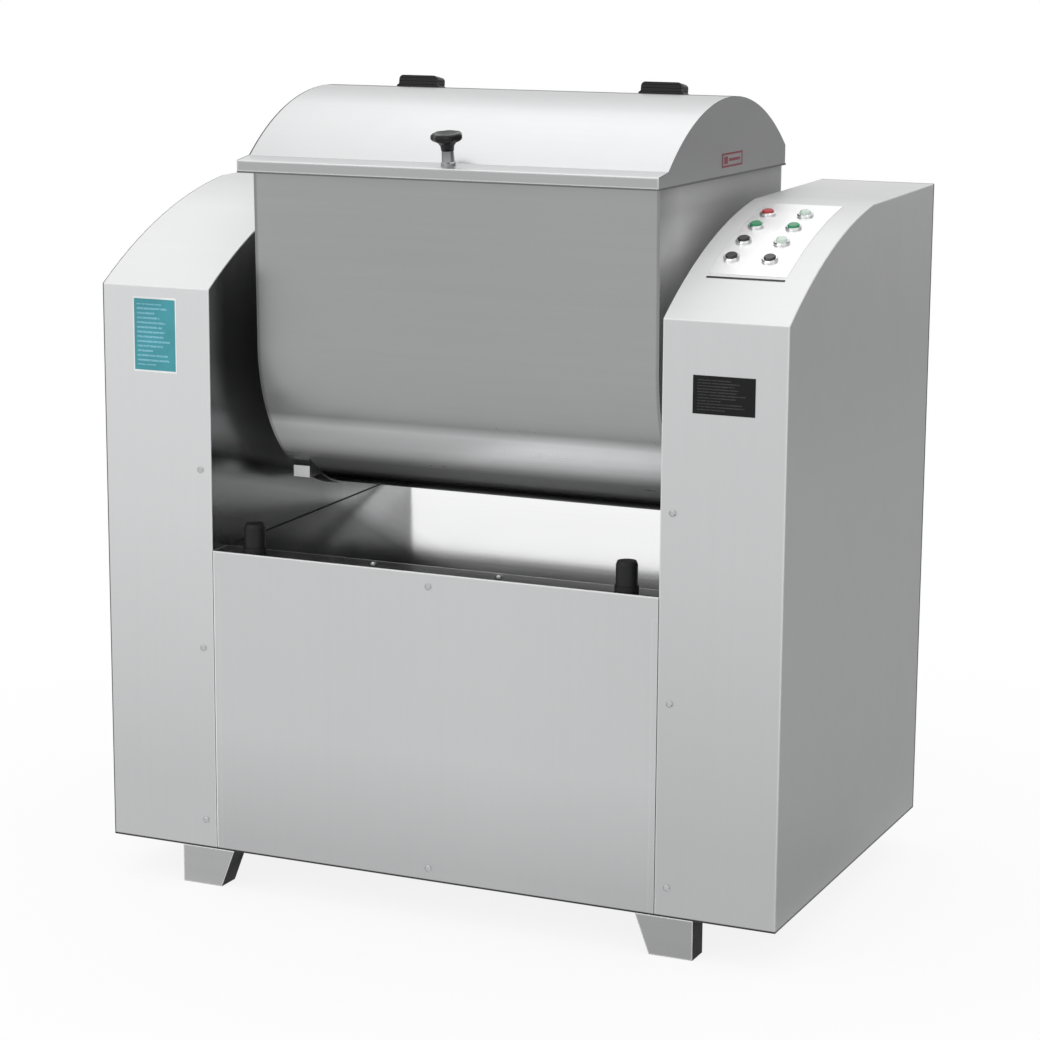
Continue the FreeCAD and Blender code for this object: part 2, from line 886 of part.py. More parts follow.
outer_low, outer_high = trough_wall(s.trough_radius, s.trough_rise)
inner_radius = s.trough_radius - s.trough_sheet
inner_low, inner_high = trough_wall(inner_radius, s.trough_rise)
trough_front_y = s.trough_axis_y - outer_high[0]
trough_back_y = s.trough_axis_y + outer_high[0]


def about_axis(point, mirrored=1):
    return (s.trough_axis_y + mirrored * point[0], axis_z + point[1])


def bowl_arc(radius, turn):
    return (s.trough_axis_y, axis_z, radius, turn)


def trough_shell():
    """Rolled sheet: round bottom and slightly flared front and back walls."""
    body = new_body("trough_shell")
    profile = [
        about_axis(outer_high, -1),
        (*about_axis(outer_low, -1), bowl_arc(s.trough_radius, "ccw")),
        about_axis(outer_low),
        about_axis(outer_high),
        about_axis(inner_high),
        (*about_axis(inner_low), bowl_arc(inner_radius, "cw")),
        about_axis(inner_low, -1),
        about_axis(inner_high, -1),
    ]
    half = trough_half - s.trough_end_plate
    add_slab(body, "YZ_Plane", [profile], -1 * half, 2 * half)
    keep(body)


def trough_end(name, side):
    body = new_body(f"{name}_trough_end")
    profile = [
        about_axis(outer_high, -1),
        (*about_axis(outer_low, -1), bowl_arc(s.trough_radius, "ccw")),
        about_axis(outer_low),
        about_axis(outer_high),
    ]
    low = span(side, trough_half - s.trough_end_plate, trough_half)
    hole = (s.trough_axis_y, axis_z, s.shaft_seal_radius)
    add_slab(body, "YZ_Plane", [profile], low, s.trough_end_plate, circles=[hole])
    keep(body)


def trough_rim():
    """Flat flange round the trough's mouth, on which the lid rests, with its rear corners cut."""
    body = new_body("trough_rim")
    half = trough_half + s.rim_side
    mouth = trough_half - s.trough_end_plate
    front = trough_front_y - s.rim_front
    back = trough_back_y + s.rim_rear
    cut = s.rim_corner_cut
    outer = [
        (-1 * half, front),
        (half, front),
        (half, back - cut),
        (half - cut, back),
        (cut - half, back),
        (-1 * half, back - cut),
    ]
    inner = rectangle(-1 * mouth, s.trough_axis_y - inner_high[0], mouth,
                      s.trough_axis_y + inner_high[0])
    add_slab(body, "XY_Plane", [outer, inner], axis_z + s.trough_rise, s.rim_sheet)
    keep(body)


def trunnion(name, side, end_x):
    """Hollow stub with a round flange, turned in one piece and bolted to the trough's end."""
    flange_x = trough_half + s.trunnion_flange
    corners = [
        (trough_half, s.trunnion_bore),
        (end_x, s.trunnion_bore),
        (end_x, s.trunnion_radius),
        (flange_x, s.trunnion_radius),
        (flange_x, s.trunnion_flange_radius),
        (trough_half, s.trunnion_flange_radius),
    ]
    body = turned_piece(f"{name}_trunnion", mirrored_across(corners, side), "H_Axis")
    place(body, 0, s.trough_axis_y, axis_z)
    keep(body)


def mirrored_across(corners, side):
    return [(side * corner[0], *corner[1:]) for corner in corners]


def trunnion_bolts():
    bolts = []
    face = trough_half + s.trunnion_flange
    for side in SIDES.values():
        for number in range(TRUNNION_BOLTS):
            step = 360 * (number + 0.5) / TRUNNION_BOLTS
            angle = Size(step, f"({step})")
            body = new_body("trunnion_bolt")
            add_slab(body, "YZ_Plane", [hexagon(s.trunnion_bolt_radius)], 0, s.trunnion_bolt_head)
            place(body, span(side, face, face + s.trunnion_bolt_head),
                  s.trough_axis_y + s.trunnion_bolt_circle * cosine(angle),
                  axis_z + s.trunnion_bolt_circle * sine(angle))
            bolts.append(body)
    group("trunnion_bolts", bolts)


def shaft_seals():
    """A sealing bush in each end: a collar in the end plate and a sleeve in the trunnion."""
    seals = []
    bore = s.shaft_radius + s.running_fit
    start = trough_half - s.trough_end_plate
    for name, side in SIDES.items():
        corners = [
            (start, bore),
            (trough_half + s.shaft_seal_reach, bore),
            (trough_half + s.shaft_seal_reach, s.trunnion_bore),
            (trough_half, s.trunnion_bore),
            (trough_half, s.shaft_seal_radius),
            (start, s.shaft_seal_radius),
        ]
        body = turned_piece(f"{name}_shaft_seal", mirrored_across(corners, side), "H_Axis")
        place(body, 0, s.trough_axis_y, axis_z)
        seals.append(body)
    group("shaft_seals", seals)


def stop_lug():
    """Strap round the trough's underside that carries a square block with an upright front face."""
    body = new_body("stop_lug")
    inner = s.trough_radius
    outer = s.trough_radius + s.lug_strap
    face_y = s.trough_axis_y - s.lug_face_reach
    face_top = axis_z - s.lug_face_drop
    face_bottom = face_top - s.lug_face_height

    def at(radius, angle):
        return (s.trough_axis_y + radius * cosine(angle), axis_z + radius * sine(angle))

    def at_drop(radius, drop):
        return (s.trough_axis_y - root(radius * radius - drop * drop), axis_z - drop)

    outline = [
        (*at(inner, s.strap_start_deg), bowl_arc(inner, "ccw")),
        at(inner, s.strap_end_deg),
        (*at(outer, s.strap_end_deg), bowl_arc(outer, "cw")),
        at_drop(outer, s.lug_face_drop + s.lug_face_height),
        (face_y, face_bottom),
        (face_y, face_top),
        (*at_drop(outer, s.lug_face_drop), bowl_arc(outer, "cw")),
        at(outer, s.strap_start_deg),
    ]
    low = -1 * (trough_half - s.lug_inset) - s.lug_width / 2
    add_slab(body, "YZ_Plane", [outline], low, s.lug_width)
    keep(body)


# Lid

lid_centre_z = axis_z - s.lid_arc_drop
lid_front_y = trough_front_y - s.rim_front
lid_back_y = trough_back_y - s.lid_back_inset
lid_arc_start_y = lid_front_y + s.lid_ledge_depth
lid_half = trough_half + s.rim_side


def lid_height(y, radius):
    across = y - s.trough_axis_y
    return lid_centre_z + root(radius * radius - across * across)


def lid_arc(radius, turn):
    return (s.trough_axis_y, lid_centre_z, radius, turn)


def lid_shell():
    """Arched sheet with a ledge and lip in front, a short upright back and two flat ends."""
    body = new_body("lid_shell")
    t = s.lid_sheet
    inner = s.lid_arc_radius - t
    lip_top = rim_top + s.lid_lip_height
    profile = [
        (lid_front_y, rim_top),
        (lid_front_y, lip_top),
        (lid_arc_start_y, lid_height(lid_arc_start_y, s.lid_arc_radius), lid_arc(s.lid_arc_radius, "cw")),
        (lid_back_y, lid_height(lid_back_y, s.lid_arc_radius)),
        (lid_back_y, rim_top),
        (lid_back_y - t, rim_top),
        (lid_back_y - t, lid_height(lid_back_y - t, inner), lid_arc(inner, "ccw")),
        (lid_arc_start_y + t, lid_height(lid_arc_start_y + t, inner)),
        (lid_front_y + t, lip_top - t),
        (lid_front_y + t, rim_top),
    ]
    add_slab(body, "YZ_Plane", [profile], -1 * lid_half, 2 * lid_half)
    for side in SIDES.values():
        low = span(side, lid_half - t, lid_half)
        add_slab(body, "YZ_Plane", [profile[:5]], low, t)
    soften(body, s.fold_radius, lambda edge: all_at(edge, y=lid_front_y, z=lip_top))
    keep(body)


ledge_rise = lid_height(lid_arc_start_y, s.lid_arc_radius) - rim_top - s.lid_lip_height
ledge_angle = Size(math.degrees(math.atan2(ledge_rise.number, s.lid_ledge_depth.number)),
                   f"atan({ledge_rise.text} / {s.lid_ledge_depth.text})")


def lid_knob():
    """Bright stem on the ledge and a black knob with a dished head, both turned."""
    base_y = lid_front_y + s.knob_from_lip
    base_z = rim_top + s.lid_lip_height + ledge_rise * s.knob_from_lip / s.lid_ledge_depth
    h = s.knob_stem_height
    r = s.knob_stem_radius
    stem = [
        (0, 0),
        (r, 0),
        (r, h * 0.16),
        (r * 0.86, h * 0.24),
        (r * 0.8, h),
        (0, h),
    ]
    body = turned_piece("knob_stem", stem)
    place(body, 0, base_y, base_z, ledge_angle)
    keep(body)
    neck = s.knob_neck_radius
    head = s.knob_head_radius
    top = h + s.knob_height
    knob = [
        (0, h),
        (neck, h),
        (neck * 1.12, h + s.knob_height * 0.28),
        (neck * 1.5, h + s.knob_height * 0.46),
        (head * 0.86, h + s.knob_height * 0.56),
        (head, h + s.knob_height * 0.7),
        (head, h + s.knob_height * 0.84),
        (head * 0.9, top),
        (head * 0.62, top - s.knob_height * 0.06),
        (0, top - s.knob_height * 0.14),
    ]
    body = turned_piece("lid_knob", knob)
    scallop = s.knob_scallop_radius
    centre = (head + scallop - s.knob_scallop_depth, 0, scallop)
    cut = add_slab(body, "XY_Plane", [], h + s.knob_height * 0.5, s.knob_height, circles=[centre],
                   cut=True)
    pattern = body.newObject("PartDesign::PolarPattern", "knob_lobes")
    pattern.Originals = [cut]
    pattern.Axis = (origin_item(body, "Z_Axis"), [""])
    pattern.Angle = 360
    pattern.Occurrences = KNOB_LOBES
    body.Tip = pattern
    place(body, 0, base_y, base_z, ledge_angle)
    keep(body)


def rest_pads():
    """Two black pads behind the lid's crest: a flared foot and a block with round corners."""
    pads = []
    foot_half = s.lid_pad_foot_length / 2
    half = s.lid_pad_length / 2
    step = s.lid_pad_foot_height
    corner = s.lid_pad_corner
    height = s.lid_pad_height
    outline = [
        (-1 * foot_half, 0),
        (foot_half, 0),
        (foot_half - step / 2, step),
        (half, step * 1.5),
        (half, height - corner, (half - corner, height - corner, corner, "ccw")),
        (half - corner, height),
        (corner - half, height, (corner - half, height - corner, corner, "ccw")),
        (-1 * half, height - corner),
        (-1 * half, step * 1.5),
        (step / 2 - foot_half, step),
    ]
    for side in SIDES.values():
        body = new_body("rest_pad")
        add_slab(body, "XZ_Plane", [outline], -1 * s.lid_pad_width / 2, s.lid_pad_width)
        place(body, side * (trough_half - s.lid_pad_inset),
              s.trough_axis_y + s.lid_arc_radius * sine(s.lid_pad_angle),
              lid_centre_z + s.lid_arc_radius * cosine(s.lid_pad_angle),
              -1 * s.lid_pad_angle)
        pads.append(body)
    group("rest_pads", pads)


# Lid hinges

hinge_leaf_y = trough_back_y + s.rim_rear
hinge_y = hinge_leaf_y + s.hinge_leaf_sheet + s.hinge_pin_back
hinge_z = rim_top + s.hinge_pin_rise


def hinge_brackets():
    """On each side a leaf behind the rim with two ears that hold the pin, and the pin itself."""
    members = []
    ear_gap = s.hinge_knuckle_middle / 2 + s.hinge_side_play
    for name, side in SIDES.items():
        body = new_body(f"{name}_hinge_bracket")
        half = s.hinge_leaf_width / 2
        centre = side * (trough_half - s.hinge_inset)
        leaf = rectangle(centre - half, rim_top - s.hinge_leaf_height, centre + half, rim_top)
        add_slab(body, "XZ_Plane", [leaf], hinge_leaf_y, s.hinge_leaf_sheet)
        radius = s.hinge_knuckle_radius
        ear = [
            (hinge_leaf_y, rim_top - s.hinge_leaf_height / 2),
            (hinge_leaf_y + s.hinge_leaf_sheet, rim_top - s.hinge_leaf_height / 2),
            (hinge_y + radius, hinge_z, (hinge_y, hinge_z, radius, "ccw")),
            (hinge_y - radius * cosine(ONE_THIRD_RIGHT), hinge_z + radius * sine(ONE_THIRD_RIGHT)),
            (hinge_leaf_y, rim_top),
        ]
        for end in (-1, 1):
            low = centre + ear_gap if end > 0 else centre - half
            add_slab(body, "YZ_Plane", [ear], low, half - ear_gap)
        bore = (hinge_y, hinge_z, s.hinge_pin_radius)
        add_slab(body, "YZ_Plane", [], centre - half - overrun, 2 * (half + overrun),
                 circles=[bore], cut=True)
        members.append(body)
        pin = cylinder(f"{name}_hinge_pin", s.hinge_pin_radius, s.hinge_leaf_width, 0, 0, 0, None)
        pin.Placement = FreeCAD.Placement(
            FreeCAD.Vector(0, 0, 0), FreeCAD.Rotation(FreeCAD.Vector(0, 1, 0), 90))
        place(pin, centre - half, hinge_y, hinge_z)
        members.append(pin)
    group("hinge_brackets", members)


def hinge_arms():
    """On each side a leaf on the lid's back with the middle knuckle of the hinge."""
    arms = []
    for name, side in SIDES.items():
        body = new_body(f"{name}_hinge_arm")
        half = s.hinge_leaf_width / 2
        centre = side * (trough_half - s.hinge_inset)
        low = rim_top + s.hinge_side_play
        leaf = rectangle(centre - half, low, centre + half, low + s.hinge_arm_height)
        add_slab(body, "XZ_Plane", [leaf], lid_back_y, s.hinge_leaf_sheet)
        radius = s.hinge_knuckle_radius - s.hinge_side_play
        arm = [
            (lid_back_y + s.hinge_leaf_sheet, hinge_z - radius / 2),
            (hinge_y, hinge_z - radius, (hinge_y, hinge_z, radius, "ccw")),
            (hinge_y - radius / 2, hinge_z + radius * cosine(ONE_THIRD_RIGHT)),
            (lid_back_y + s.hinge_leaf_sheet, hinge_z + s.hinge_arm_height / 2),
        ]
        add_slab(body, "YZ_Plane", [arm], centre - s.hinge_knuckle_middle / 2, s.hinge_knuckle_middle)
        bore = (hinge_y, hinge_z, s.hinge_pin_radius + s.hinge_running)
        add_slab(body, "YZ_Plane", [], centre - half - overrun, 2 * (half + overrun),
                 circles=[bore], cut=True)
        arms.append(body)
    group("hinge_arms", arms)


# Mixing blade and shaft

blade_half = trough_half - s.trough_end_plate - s.blade_end_gap
blade_tip = inner_radius - s.blade_clearance


def mixing_blade():
    """Two bars that twist half a turn round the axis, joined at each end by an arm with a hub."""
    body = new_body("mixing_blade")
    length = 2 * blade_half
    travel = length - s.blade_bar_width
    c = s.blade_bar_corner
    low_x = -1 * blade_half
    high_x = low_x + s.blade_bar_width
    low_r = blade_tip - s.blade_bar_depth
    section = [
        (low_x + c, low_r),
        (high_x - c, low_r),
        (high_x, low_r + c),
        (high_x, blade_tip - c),
        (high_x - c, blade_tip),
        (low_x + c, blade_tip),
        (low_x, blade_tip - c),
        (low_x, low_r + c),
    ]
    sketch = new_sketch(body, "XZ_Plane")
    draw_loop(sketch, section)
    bar = body.newObject("PartDesign::AdditiveHelix", "blade_bar")
    bar.Profile = sketch
    bar.ReferenceAxis = (sketch, ["H_Axis"])
    bar.Mode = 0
    bar.setExpression("Pitch", (2 * travel).text)
    bar.setExpression("Height", travel.text)
    pattern = body.newObject("PartDesign::PolarPattern", "blade_bars")
    pattern.Originals = [bar]
    pattern.Axis = (origin_item(body, "X_Axis"), [""])
    pattern.Angle = 360
    pattern.Occurrences = 2
    body.Tip = pattern
    root_half = s.blade_arm_root
    tip_half = s.blade_arm_tip
    reach = root(blade_tip * blade_tip - tip_half * tip_half)
    arm = [
        (-1 * tip_half, -1 * reach),
        (tip_half, -1 * reach),
        (root_half, 0),
        (tip_half, reach),
        (-1 * tip_half, reach),
        (-1 * root_half, 0),
    ]
    hub = (0, 0, s.blade_hub_radius)
    for side in SIDES.values():
        low = span(side, blade_half - s.blade_bar_width, blade_half)
        add_slab(body, "YZ_Plane", [arm], low, s.blade_bar_width)
        add_slab(body, "YZ_Plane", [], low, s.blade_bar_width, circles=[hub])
    bore = (0, 0, s.shaft_radius)
    add_slab(body, "YZ_Plane", [], low_x - overrun, length + 2 * overrun,
             circles=[bore], cut=True)
    place(body, 0, s.trough_axis_y, axis_z)
    keep(body)


def mixing_shafts():
    """The driven shaft on the left and the short idle shaft on the right, both set in the hubs."""
    start = blade_half - s.blade_bar_width
    drive_end = reducer_far_x + s.shaft_past_reducer
    idle_end = post_far_x - s.idle_shaft_inset
    for name, side, end in (("drive", -1, drive_end), ("idle", 1, idle_end)):
        chamfer = s.shaft_radius * 0.1
        corners = [
            (start, 0),
            (end, 0),
            (end, s.shaft_radius - chamfer),
            (end - chamfer, s.shaft_radius),
            (start, s.shaft_radius),
        ]
        body = turned_piece(f"{name}_shaft", mirrored_across(corners, side), "H_Axis")
        place(body, 0, s.trough_axis_y, axis_z)
        keep(body)


# Main drive in the left column

input_z = axis_z - s.reducer_input_drop
motor_z = rail_top + s.motor_base_plate + s.motor_centre_height
pulley_width = BELTS * s.groove_pitch + (s.groove_pitch - s.groove_width)


def round_ended(top, top_radius, bottom, bottom_radius):
    """Outline round two circles, one above the other, joined by their outer tangents."""
    top_y, top_z = top
    bottom_y, bottom_z = bottom
    apart = root((top_z - bottom_z) * (top_z - bottom_z) + (top_y - bottom_y) * (top_y - bottom_y))
    rise = (top_z - bottom_z) / apart
    lean = (top_y - bottom_y) / apart
    dip = (top_radius - bottom_radius) / apart
    flat = root(1 - dip * dip)

    def touch(centre_y, centre_z, radius, hand):
        across = hand * flat * rise - dip * lean
        up = -1 * hand * flat * lean - dip * rise
        return (centre_y + radius * across, centre_z + radius * up)

    return [
        (*touch(top_y, top_z, top_radius, 1), (top_y, top_z, top_radius, "ccw")),
        touch(top_y, top_z, top_radius, -1),
        (*touch(bottom_y, bottom_z, bottom_radius, -1), (bottom_y, bottom_z, bottom_radius, "ccw")),
        touch(bottom_y, bottom_z, bottom_radius, 1),
    ]


def gear_reducer():
    """Shaft-mounted reducer: round-ended housing with a split rib, output sleeve and input boss."""
    body = new_body("gear_reducer")
    top = (s.trough_axis_y, axis_z)
    bottom = (s.trough_axis_y, input_z)
    outline = round_ended(top, s.reducer_output_radius, bottom, s.reducer_input_radius)
    low = -1 * reducer_far_x
    add_slab(body, "YZ_Plane", [outline], low, s.reducer_thickness)
    rib = round_ended(top, s.reducer_output_radius + s.reducer_rib,
                      bottom, s.reducer_input_radius + s.reducer_rib)
    middle = low + s.reducer_thickness / 2 - s.reducer_rib_thickness / 2
    add_slab(body, "YZ_Plane", [rib], middle, s.reducer_rib_thickness)
    for centre in (top, bottom):
        boss = (*centre, s.reducer_boss_radius)
        add_slab(body, "YZ_Plane", [], low - s.reducer_boss, s.reducer_boss, circles=[boss])
    sleeve = (*top, s.shaft_radius + s.running_fit)
    add_slab(body, "YZ_Plane", [], low - s.reducer_boss - overrun,
             s.reducer_thickness + s.reducer_boss + 2 * overrun, circles=[sleeve], cut=True)
    seat = (*bottom, s.reducer_input_shaft_radius + s.running_fit)
    add_slab(body, "YZ_Plane", [], low - s.reducer_boss - overrun,
             s.reducer_thickness / 2 + overrun, circles=[seat], cut=True)
    keep(body)


def pulley(label, radius, shaft_radius, shaft_end, y, z):
    """Grooved pulley on its shaft, turned about X; the shaft runs inwards to shaft_end."""
    corners = [
        (-1 * shaft_end, 0),
        (-1 * shaft_end, shaft_radius),
        (-1 * pulley_inner_x, shaft_radius),
        (-1 * pulley_inner_x, radius),
    ]
    land = s.groove_pitch - s.groove_width
    x = -1 * pulley_inner_x - land
    for _ in range(BELTS):
        corners.append((x, radius))
        corners.append((x - s.belt_side_play, radius - s.groove_depth))
        corners.append((x - s.groove_width + s.belt_side_play, radius - s.groove_depth))
        corners.append((x - s.groove_width, radius))
        x = x - s.groove_pitch
    corners.append((-1 * pulley_inner_x - pulley_width, radius))
    corners.append((-1 * pulley_inner_x - pulley_width, 0))
    body = turned_piece(label, corners, "H_Axis")
    place(body, 0, y, z)
    keep(body)


def drive_belts():
    belts = []
    land = s.groove_pitch - s.groove_width
    inside = s.groove_depth - s.belt_side_play
    top = (s.trough_axis_y, input_z)
    bottom = (s.motor_axis_y, motor_z)
    for number in range(BELTS):
        body = new_body("drive_belt")
        width = s.groove_width - 4 * s.belt_side_play
        low = -1 * (pulley_inner_x + land + number * s.groove_pitch) \
            - s.groove_width + 2 * s.belt_side_play
        grow = s.belt_height - inside
        outer = round_ended(top, s.reducer_pulley_radius + grow, bottom, s.motor_pulley_radius + grow)
        inner = round_ended(top, s.reducer_pulley_radius - inside, bottom, s.motor_pulley_radius - inside)
        add_slab(body, "YZ_Plane", [outer, inner], low, width)
        belts.append(body)
    group("drive_belts", belts)


def main_motor():
    """Foot-mounted finned motor, with its fan cover inwards and a terminal box on top."""
    body = new_body("main_motor")
    nose = -1 * motor_nose_x
    tail = nose + s.motor_length
    step = s.motor_fan_cover / 3
    corners = [
        (nose, 0),
        (nose, s.motor_radius * 0.5),
        (nose + step / 2, s.motor_radius * 0.6),
        (nose + step / 2, s.motor_flange_radius),
        (nose + step, s.motor_flange_radius),
        (nose + step, s.motor_radius),
        (tail - s.motor_fan_cover, s.motor_radius),
        (tail - s.motor_fan_cover, s.motor_radius + s.motor_fin_height),
        (tail - step / 2, s.motor_radius + s.motor_fin_height),
        (tail, s.motor_radius * 0.8),
        (tail, 0),
    ]
    add_turned(body, corners, "H_Axis")
    low = nose + step
    length = s.motor_length - s.motor_fan_cover - step
    half = s.motor_fin_thickness / 2
    fin = rectangle(-1 * half, s.motor_radius - 3, half, s.motor_radius + s.motor_fin_height)
    feature = add_slab(body, "YZ_Plane", [fin], low, length)
    pattern = body.newObject("PartDesign::PolarPattern", "motor_fins")
    pattern.Originals = [feature]
    pattern.Axis = (origin_item(body, "X_Axis"), [""])
    pattern.Angle = 360
    pattern.Occurrences = MOTOR_FINS
    body.Tip = pattern
    spread = s.motor_foot_spread / 2
    foot_low = low + (length - s.motor_foot_length) / 2
    base = -1 * s.motor_centre_height
    feet = [
        (-1 * spread, base),
        (spread, base),
        (spread, base + s.motor_foot_height),
        (spread * 0.6, -1 * s.motor_radius * 0.6),
        (spread * -0.6, -1 * s.motor_radius * 0.6),
        (-1 * spread, base + s.motor_foot_height),
    ]
    add_slab(body, "YZ_Plane", [feet], foot_low, s.motor_foot_length)
    box = rectangle(s.motor_radius * -0.55, s.motor_radius * 0.7, s.motor_radius * 0.55,
                    s.motor_radius * 1.45)
    add_slab(body, "YZ_Plane", [box], foot_low + s.motor_foot_length * 0.2, s.motor_foot_length * 0.6)
    socket = (0, 0, s.motor_shaft_radius + s.running_fit)
    add_slab(body, "YZ_Plane", [], nose - overrun, s.motor_shaft_socket + overrun,
             circles=[socket], cut=True)
    place(body, 0, s.motor_axis_y, motor_z)
    keep(body)


def motor_base():
    """Slotted plate across the motor rails, along which the motor slides to tighten the belts."""
    body = new_body("motor_base")
    low_x = -1 * post_near_x
    high_x = -1 * motor_rail_x + s.motor_rail_spacing + s.motor_rail_width
    half = s.motor_foot_spread / 2 + s.motor_base_margin
    plate = rectangle(low_x, s.motor_axis_y - half, high_x, s.motor_axis_y + half)
    add_slab(body, "XY_Plane", [plate], rail_top, s.motor_base_plate)
    keep(body)


# Tilt drive in the right column

gear_radius = s.gear_module * GEAR_TEETH / 2
pinion_radius = s.gear_module * PINION_TEETH / 2
pinion_z = axis_z - gear_radius - pinion_radius


def involute(value):
    return math.tan(value) - value


def tooth_half_angles(teeth):
    """Radius and half tooth angle along one flank, from the root to the tip."""
    module = s.gear_module.number
    pitch = module * teeth / 2
    pressure = math.radians(PRESSURE_ANGLE_DEG)
    base = pitch * math.cos(pressure)
    tip = pitch + module
    low = max(base, pitch - module)
    at_pitch = math.pi / (2 * teeth) - s.gear_backlash.number / (4 * pitch)
    flank = []
    for step in range(FLANK_STEPS + 1):
        radius = low + (tip - low) * step / FLANK_STEPS
        pressure_here = math.acos(min(1, base / radius))
        flank.append((radius, at_pitch + involute(pressure) - involute(pressure_here)))
    return flank


def gear_outline(teeth, first, last, turn):
    """Points of the teeth numbered first to last, tooth 0 pointing at turn radians."""
    module = s.gear_module.number
    bottom = module * teeth / 2 - 1.25 * module
    flank = tooth_half_angles(teeth)
    points = []
    for tooth in range(first, last + 1):
        middle = turn + 2 * math.pi * tooth / teeth
        rising = [(bottom, flank[0][1])] + flank
        for radius, half in rising:
            points.append((radius, middle - half))
        for radius, half in reversed(rising):
            points.append((radius, middle + half))
    return [FreeCAD.Vector(0, r * math.cos(a), r * math.sin(a)) for r, a in points]


def tilt_gear():
    """Toothed sector keyed to the right trunnion: hub, two-sided web and a rim of involute teeth."""
    down = -math.pi / 2
    first = math.ceil((s.gear_sector_start_deg.number - 270) * GEAR_TEETH / 360)
    last = math.floor((s.gear_sector_end_deg.number - 270) * GEAR_TEETH / 360)
    points = gear_outline(GEAR_TEETH, first, last, down)
    centre = FreeCAD.Vector(0, 0, 0)
    points = [centre] + points + [centre]
    width = s.gear_thickness.number
    inward = FreeCAD.Vector(width, 0, 0)
    sector = Part.Face(Part.makePolygon(points)).extrude(inward)
    along = FreeCAD.Vector(1, 0, 0)
    hub = Part.makeCylinder(s.gear_hub_radius.number, width, centre, along)
    gear = sector.fuse(hub)
    rim = gear_radius.number - s.gear_rim_depth.number
    web_cut = width / 4
    for x in (0, width - web_cut):
        start = FreeCAD.Vector(x, 0, 0)
        ring = Part.makeCylinder(rim, web_cut, start, along)
        ring = ring.cut(Part.makeCylinder(s.gear_hub_radius.number, web_cut, start, along))
        gear = gear.cut(ring)
    gear = gear.cut(Part.makeCylinder(s.trunnion_radius.number, width, centre, along))
    item = doc.addObject("Part::Feature", "tilt_gear")
    item.Label = "tilt_gear"
    item.Shape = gear.removeSplitter()
    place(item, gear_inner_x, s.trough_axis_y, axis_z)
    keep(item)


def tilt_pinion():
    """Pinion and its shaft, one of its gaps facing the gear's middle tooth."""
    half_pitch = math.pi / PINION_TEETH
    points = gear_outline(PINION_TEETH, 0, PINION_TEETH - 1, math.pi / 2 + half_pitch)
    width = s.gear_thickness.number
    along = FreeCAD.Vector(1, 0, 0)
    teeth = Part.Face(Part.makePolygon(points + points[:1])).extrude(FreeCAD.Vector(width, 0, 0))
    reach = gear_inner_x.number - post_near_x.number - s.side_rail_width.number / 2
    shaft = Part.makeCylinder(s.tilt_shaft_radius.number, reach, FreeCAD.Vector(-reach, 0, 0), along)
    item = doc.addObject("Part::Feature", "tilt_pinion")
    item.Label = "tilt_pinion"
    item.Shape = teeth.fuse(shaft).removeSplitter()
    place(item, gear_inner_x, s.trough_axis_y, pinion_z)
    keep(item)


def tilt_gearmotor():
    """Worm gearbox hung under the right bearing beam, with its motor upright below."""
    body = new_body("tilt_gearmotor")
    low = post_near_x
    thickness = gear_inner_x - s.tilt_box_gap - low
    half = s.tilt_box_width / 2
    bottom = beam_bottom - s.tilt_box_height
    corner = half / 3
    y = s.trough_axis_y
    outline = [
        (y - half, beam_bottom),
        (y - half, bottom + corner),
        (y - half + corner, bottom),
        (y + half - corner, bottom),
        (y + half, bottom + corner),
        (y + half, beam_bottom),
    ]
    add_slab(body, "YZ_Plane", [outline], low, thickness)
    motor_x = post_near_x + s.tilt_motor_inset
    neck = (motor_x, y, s.tilt_motor_radius * 0.55)
    drum = (motor_x, y, s.tilt_motor_radius)
    neck_length = s.tilt_motor_length / 10
    add_slab(body, "XY_Plane", [], bottom - neck_length, neck_length, circles=[neck])
    add_slab(body, "XY_Plane", [], bottom - neck_length - s.tilt_motor_length, s.tilt_motor_length,
             circles=[drum])
    socket = (y, pinion_z, s.tilt_shaft_radius + s.running_fit)
    add_slab(body, "YZ_Plane", [], low + s.side_rail_width / 2 - overrun,
             thickness - s.side_rail_width / 2 + 2 * overrun, circles=[socket], cut=True)
    keep(body)


def electrical_box():
    """Sheet steel cabinet on the right stand's posts: an open box with a mounting rail, and its door."""
    body = new_body("electrical_box")
    sheet_metal = s.electric_box_sheet
    half = s.post_spacing / 2 + s.post_width / 2
    y = s.trough_axis_y
    depth = far_x - s.casing_sheet - s.electric_box_gap - sheet_metal - post_far_x
    top = axis_z - s.electric_box_below_axis
    face = rectangle(y - half, s.electric_box_bottom, y + half, top)
    add_slab(body, "YZ_Plane", [face], post_far_x, depth)
    inside = rectangle(y - half + sheet_metal, s.electric_box_bottom + sheet_metal,
                       y + half - sheet_metal, top - sheet_metal)
    add_slab(body, "YZ_Plane", [inside], post_far_x + sheet_metal, depth, cut=True)
    gap = s.electric_door_gap
    middle = (s.electric_box_bottom + top) / 2 - s.electric_rail_height / 2
    rail = rectangle(y - half + gap, middle, y + half - gap, middle + s.electric_rail_height)
    add_slab(body, "YZ_Plane", [rail], post_far_x + sheet_metal, gap)
    keep(body)
    door = new_body("electrical_door")
    panel = rectangle(y - half, s.electric_box_bottom, y + half, top)
    add_slab(door, "YZ_Plane", [panel], post_far_x + depth, sheet_metal)
    keep(door)


# Control panel

def on_column_arc(angle, radius):
    """A point of the curved top, by its angle forward of upright."""
    return (s.column_arc_centre_y - radius * sine(angle), arc_centre_z + radius * cosine(angle))


def control_place(spot):
    column, row = spot
    angle = s.button_first_angle - row * s.button_row_pitch
    x = near_x + s.button_inset + column * s.button_column_pitch
    return x, angle


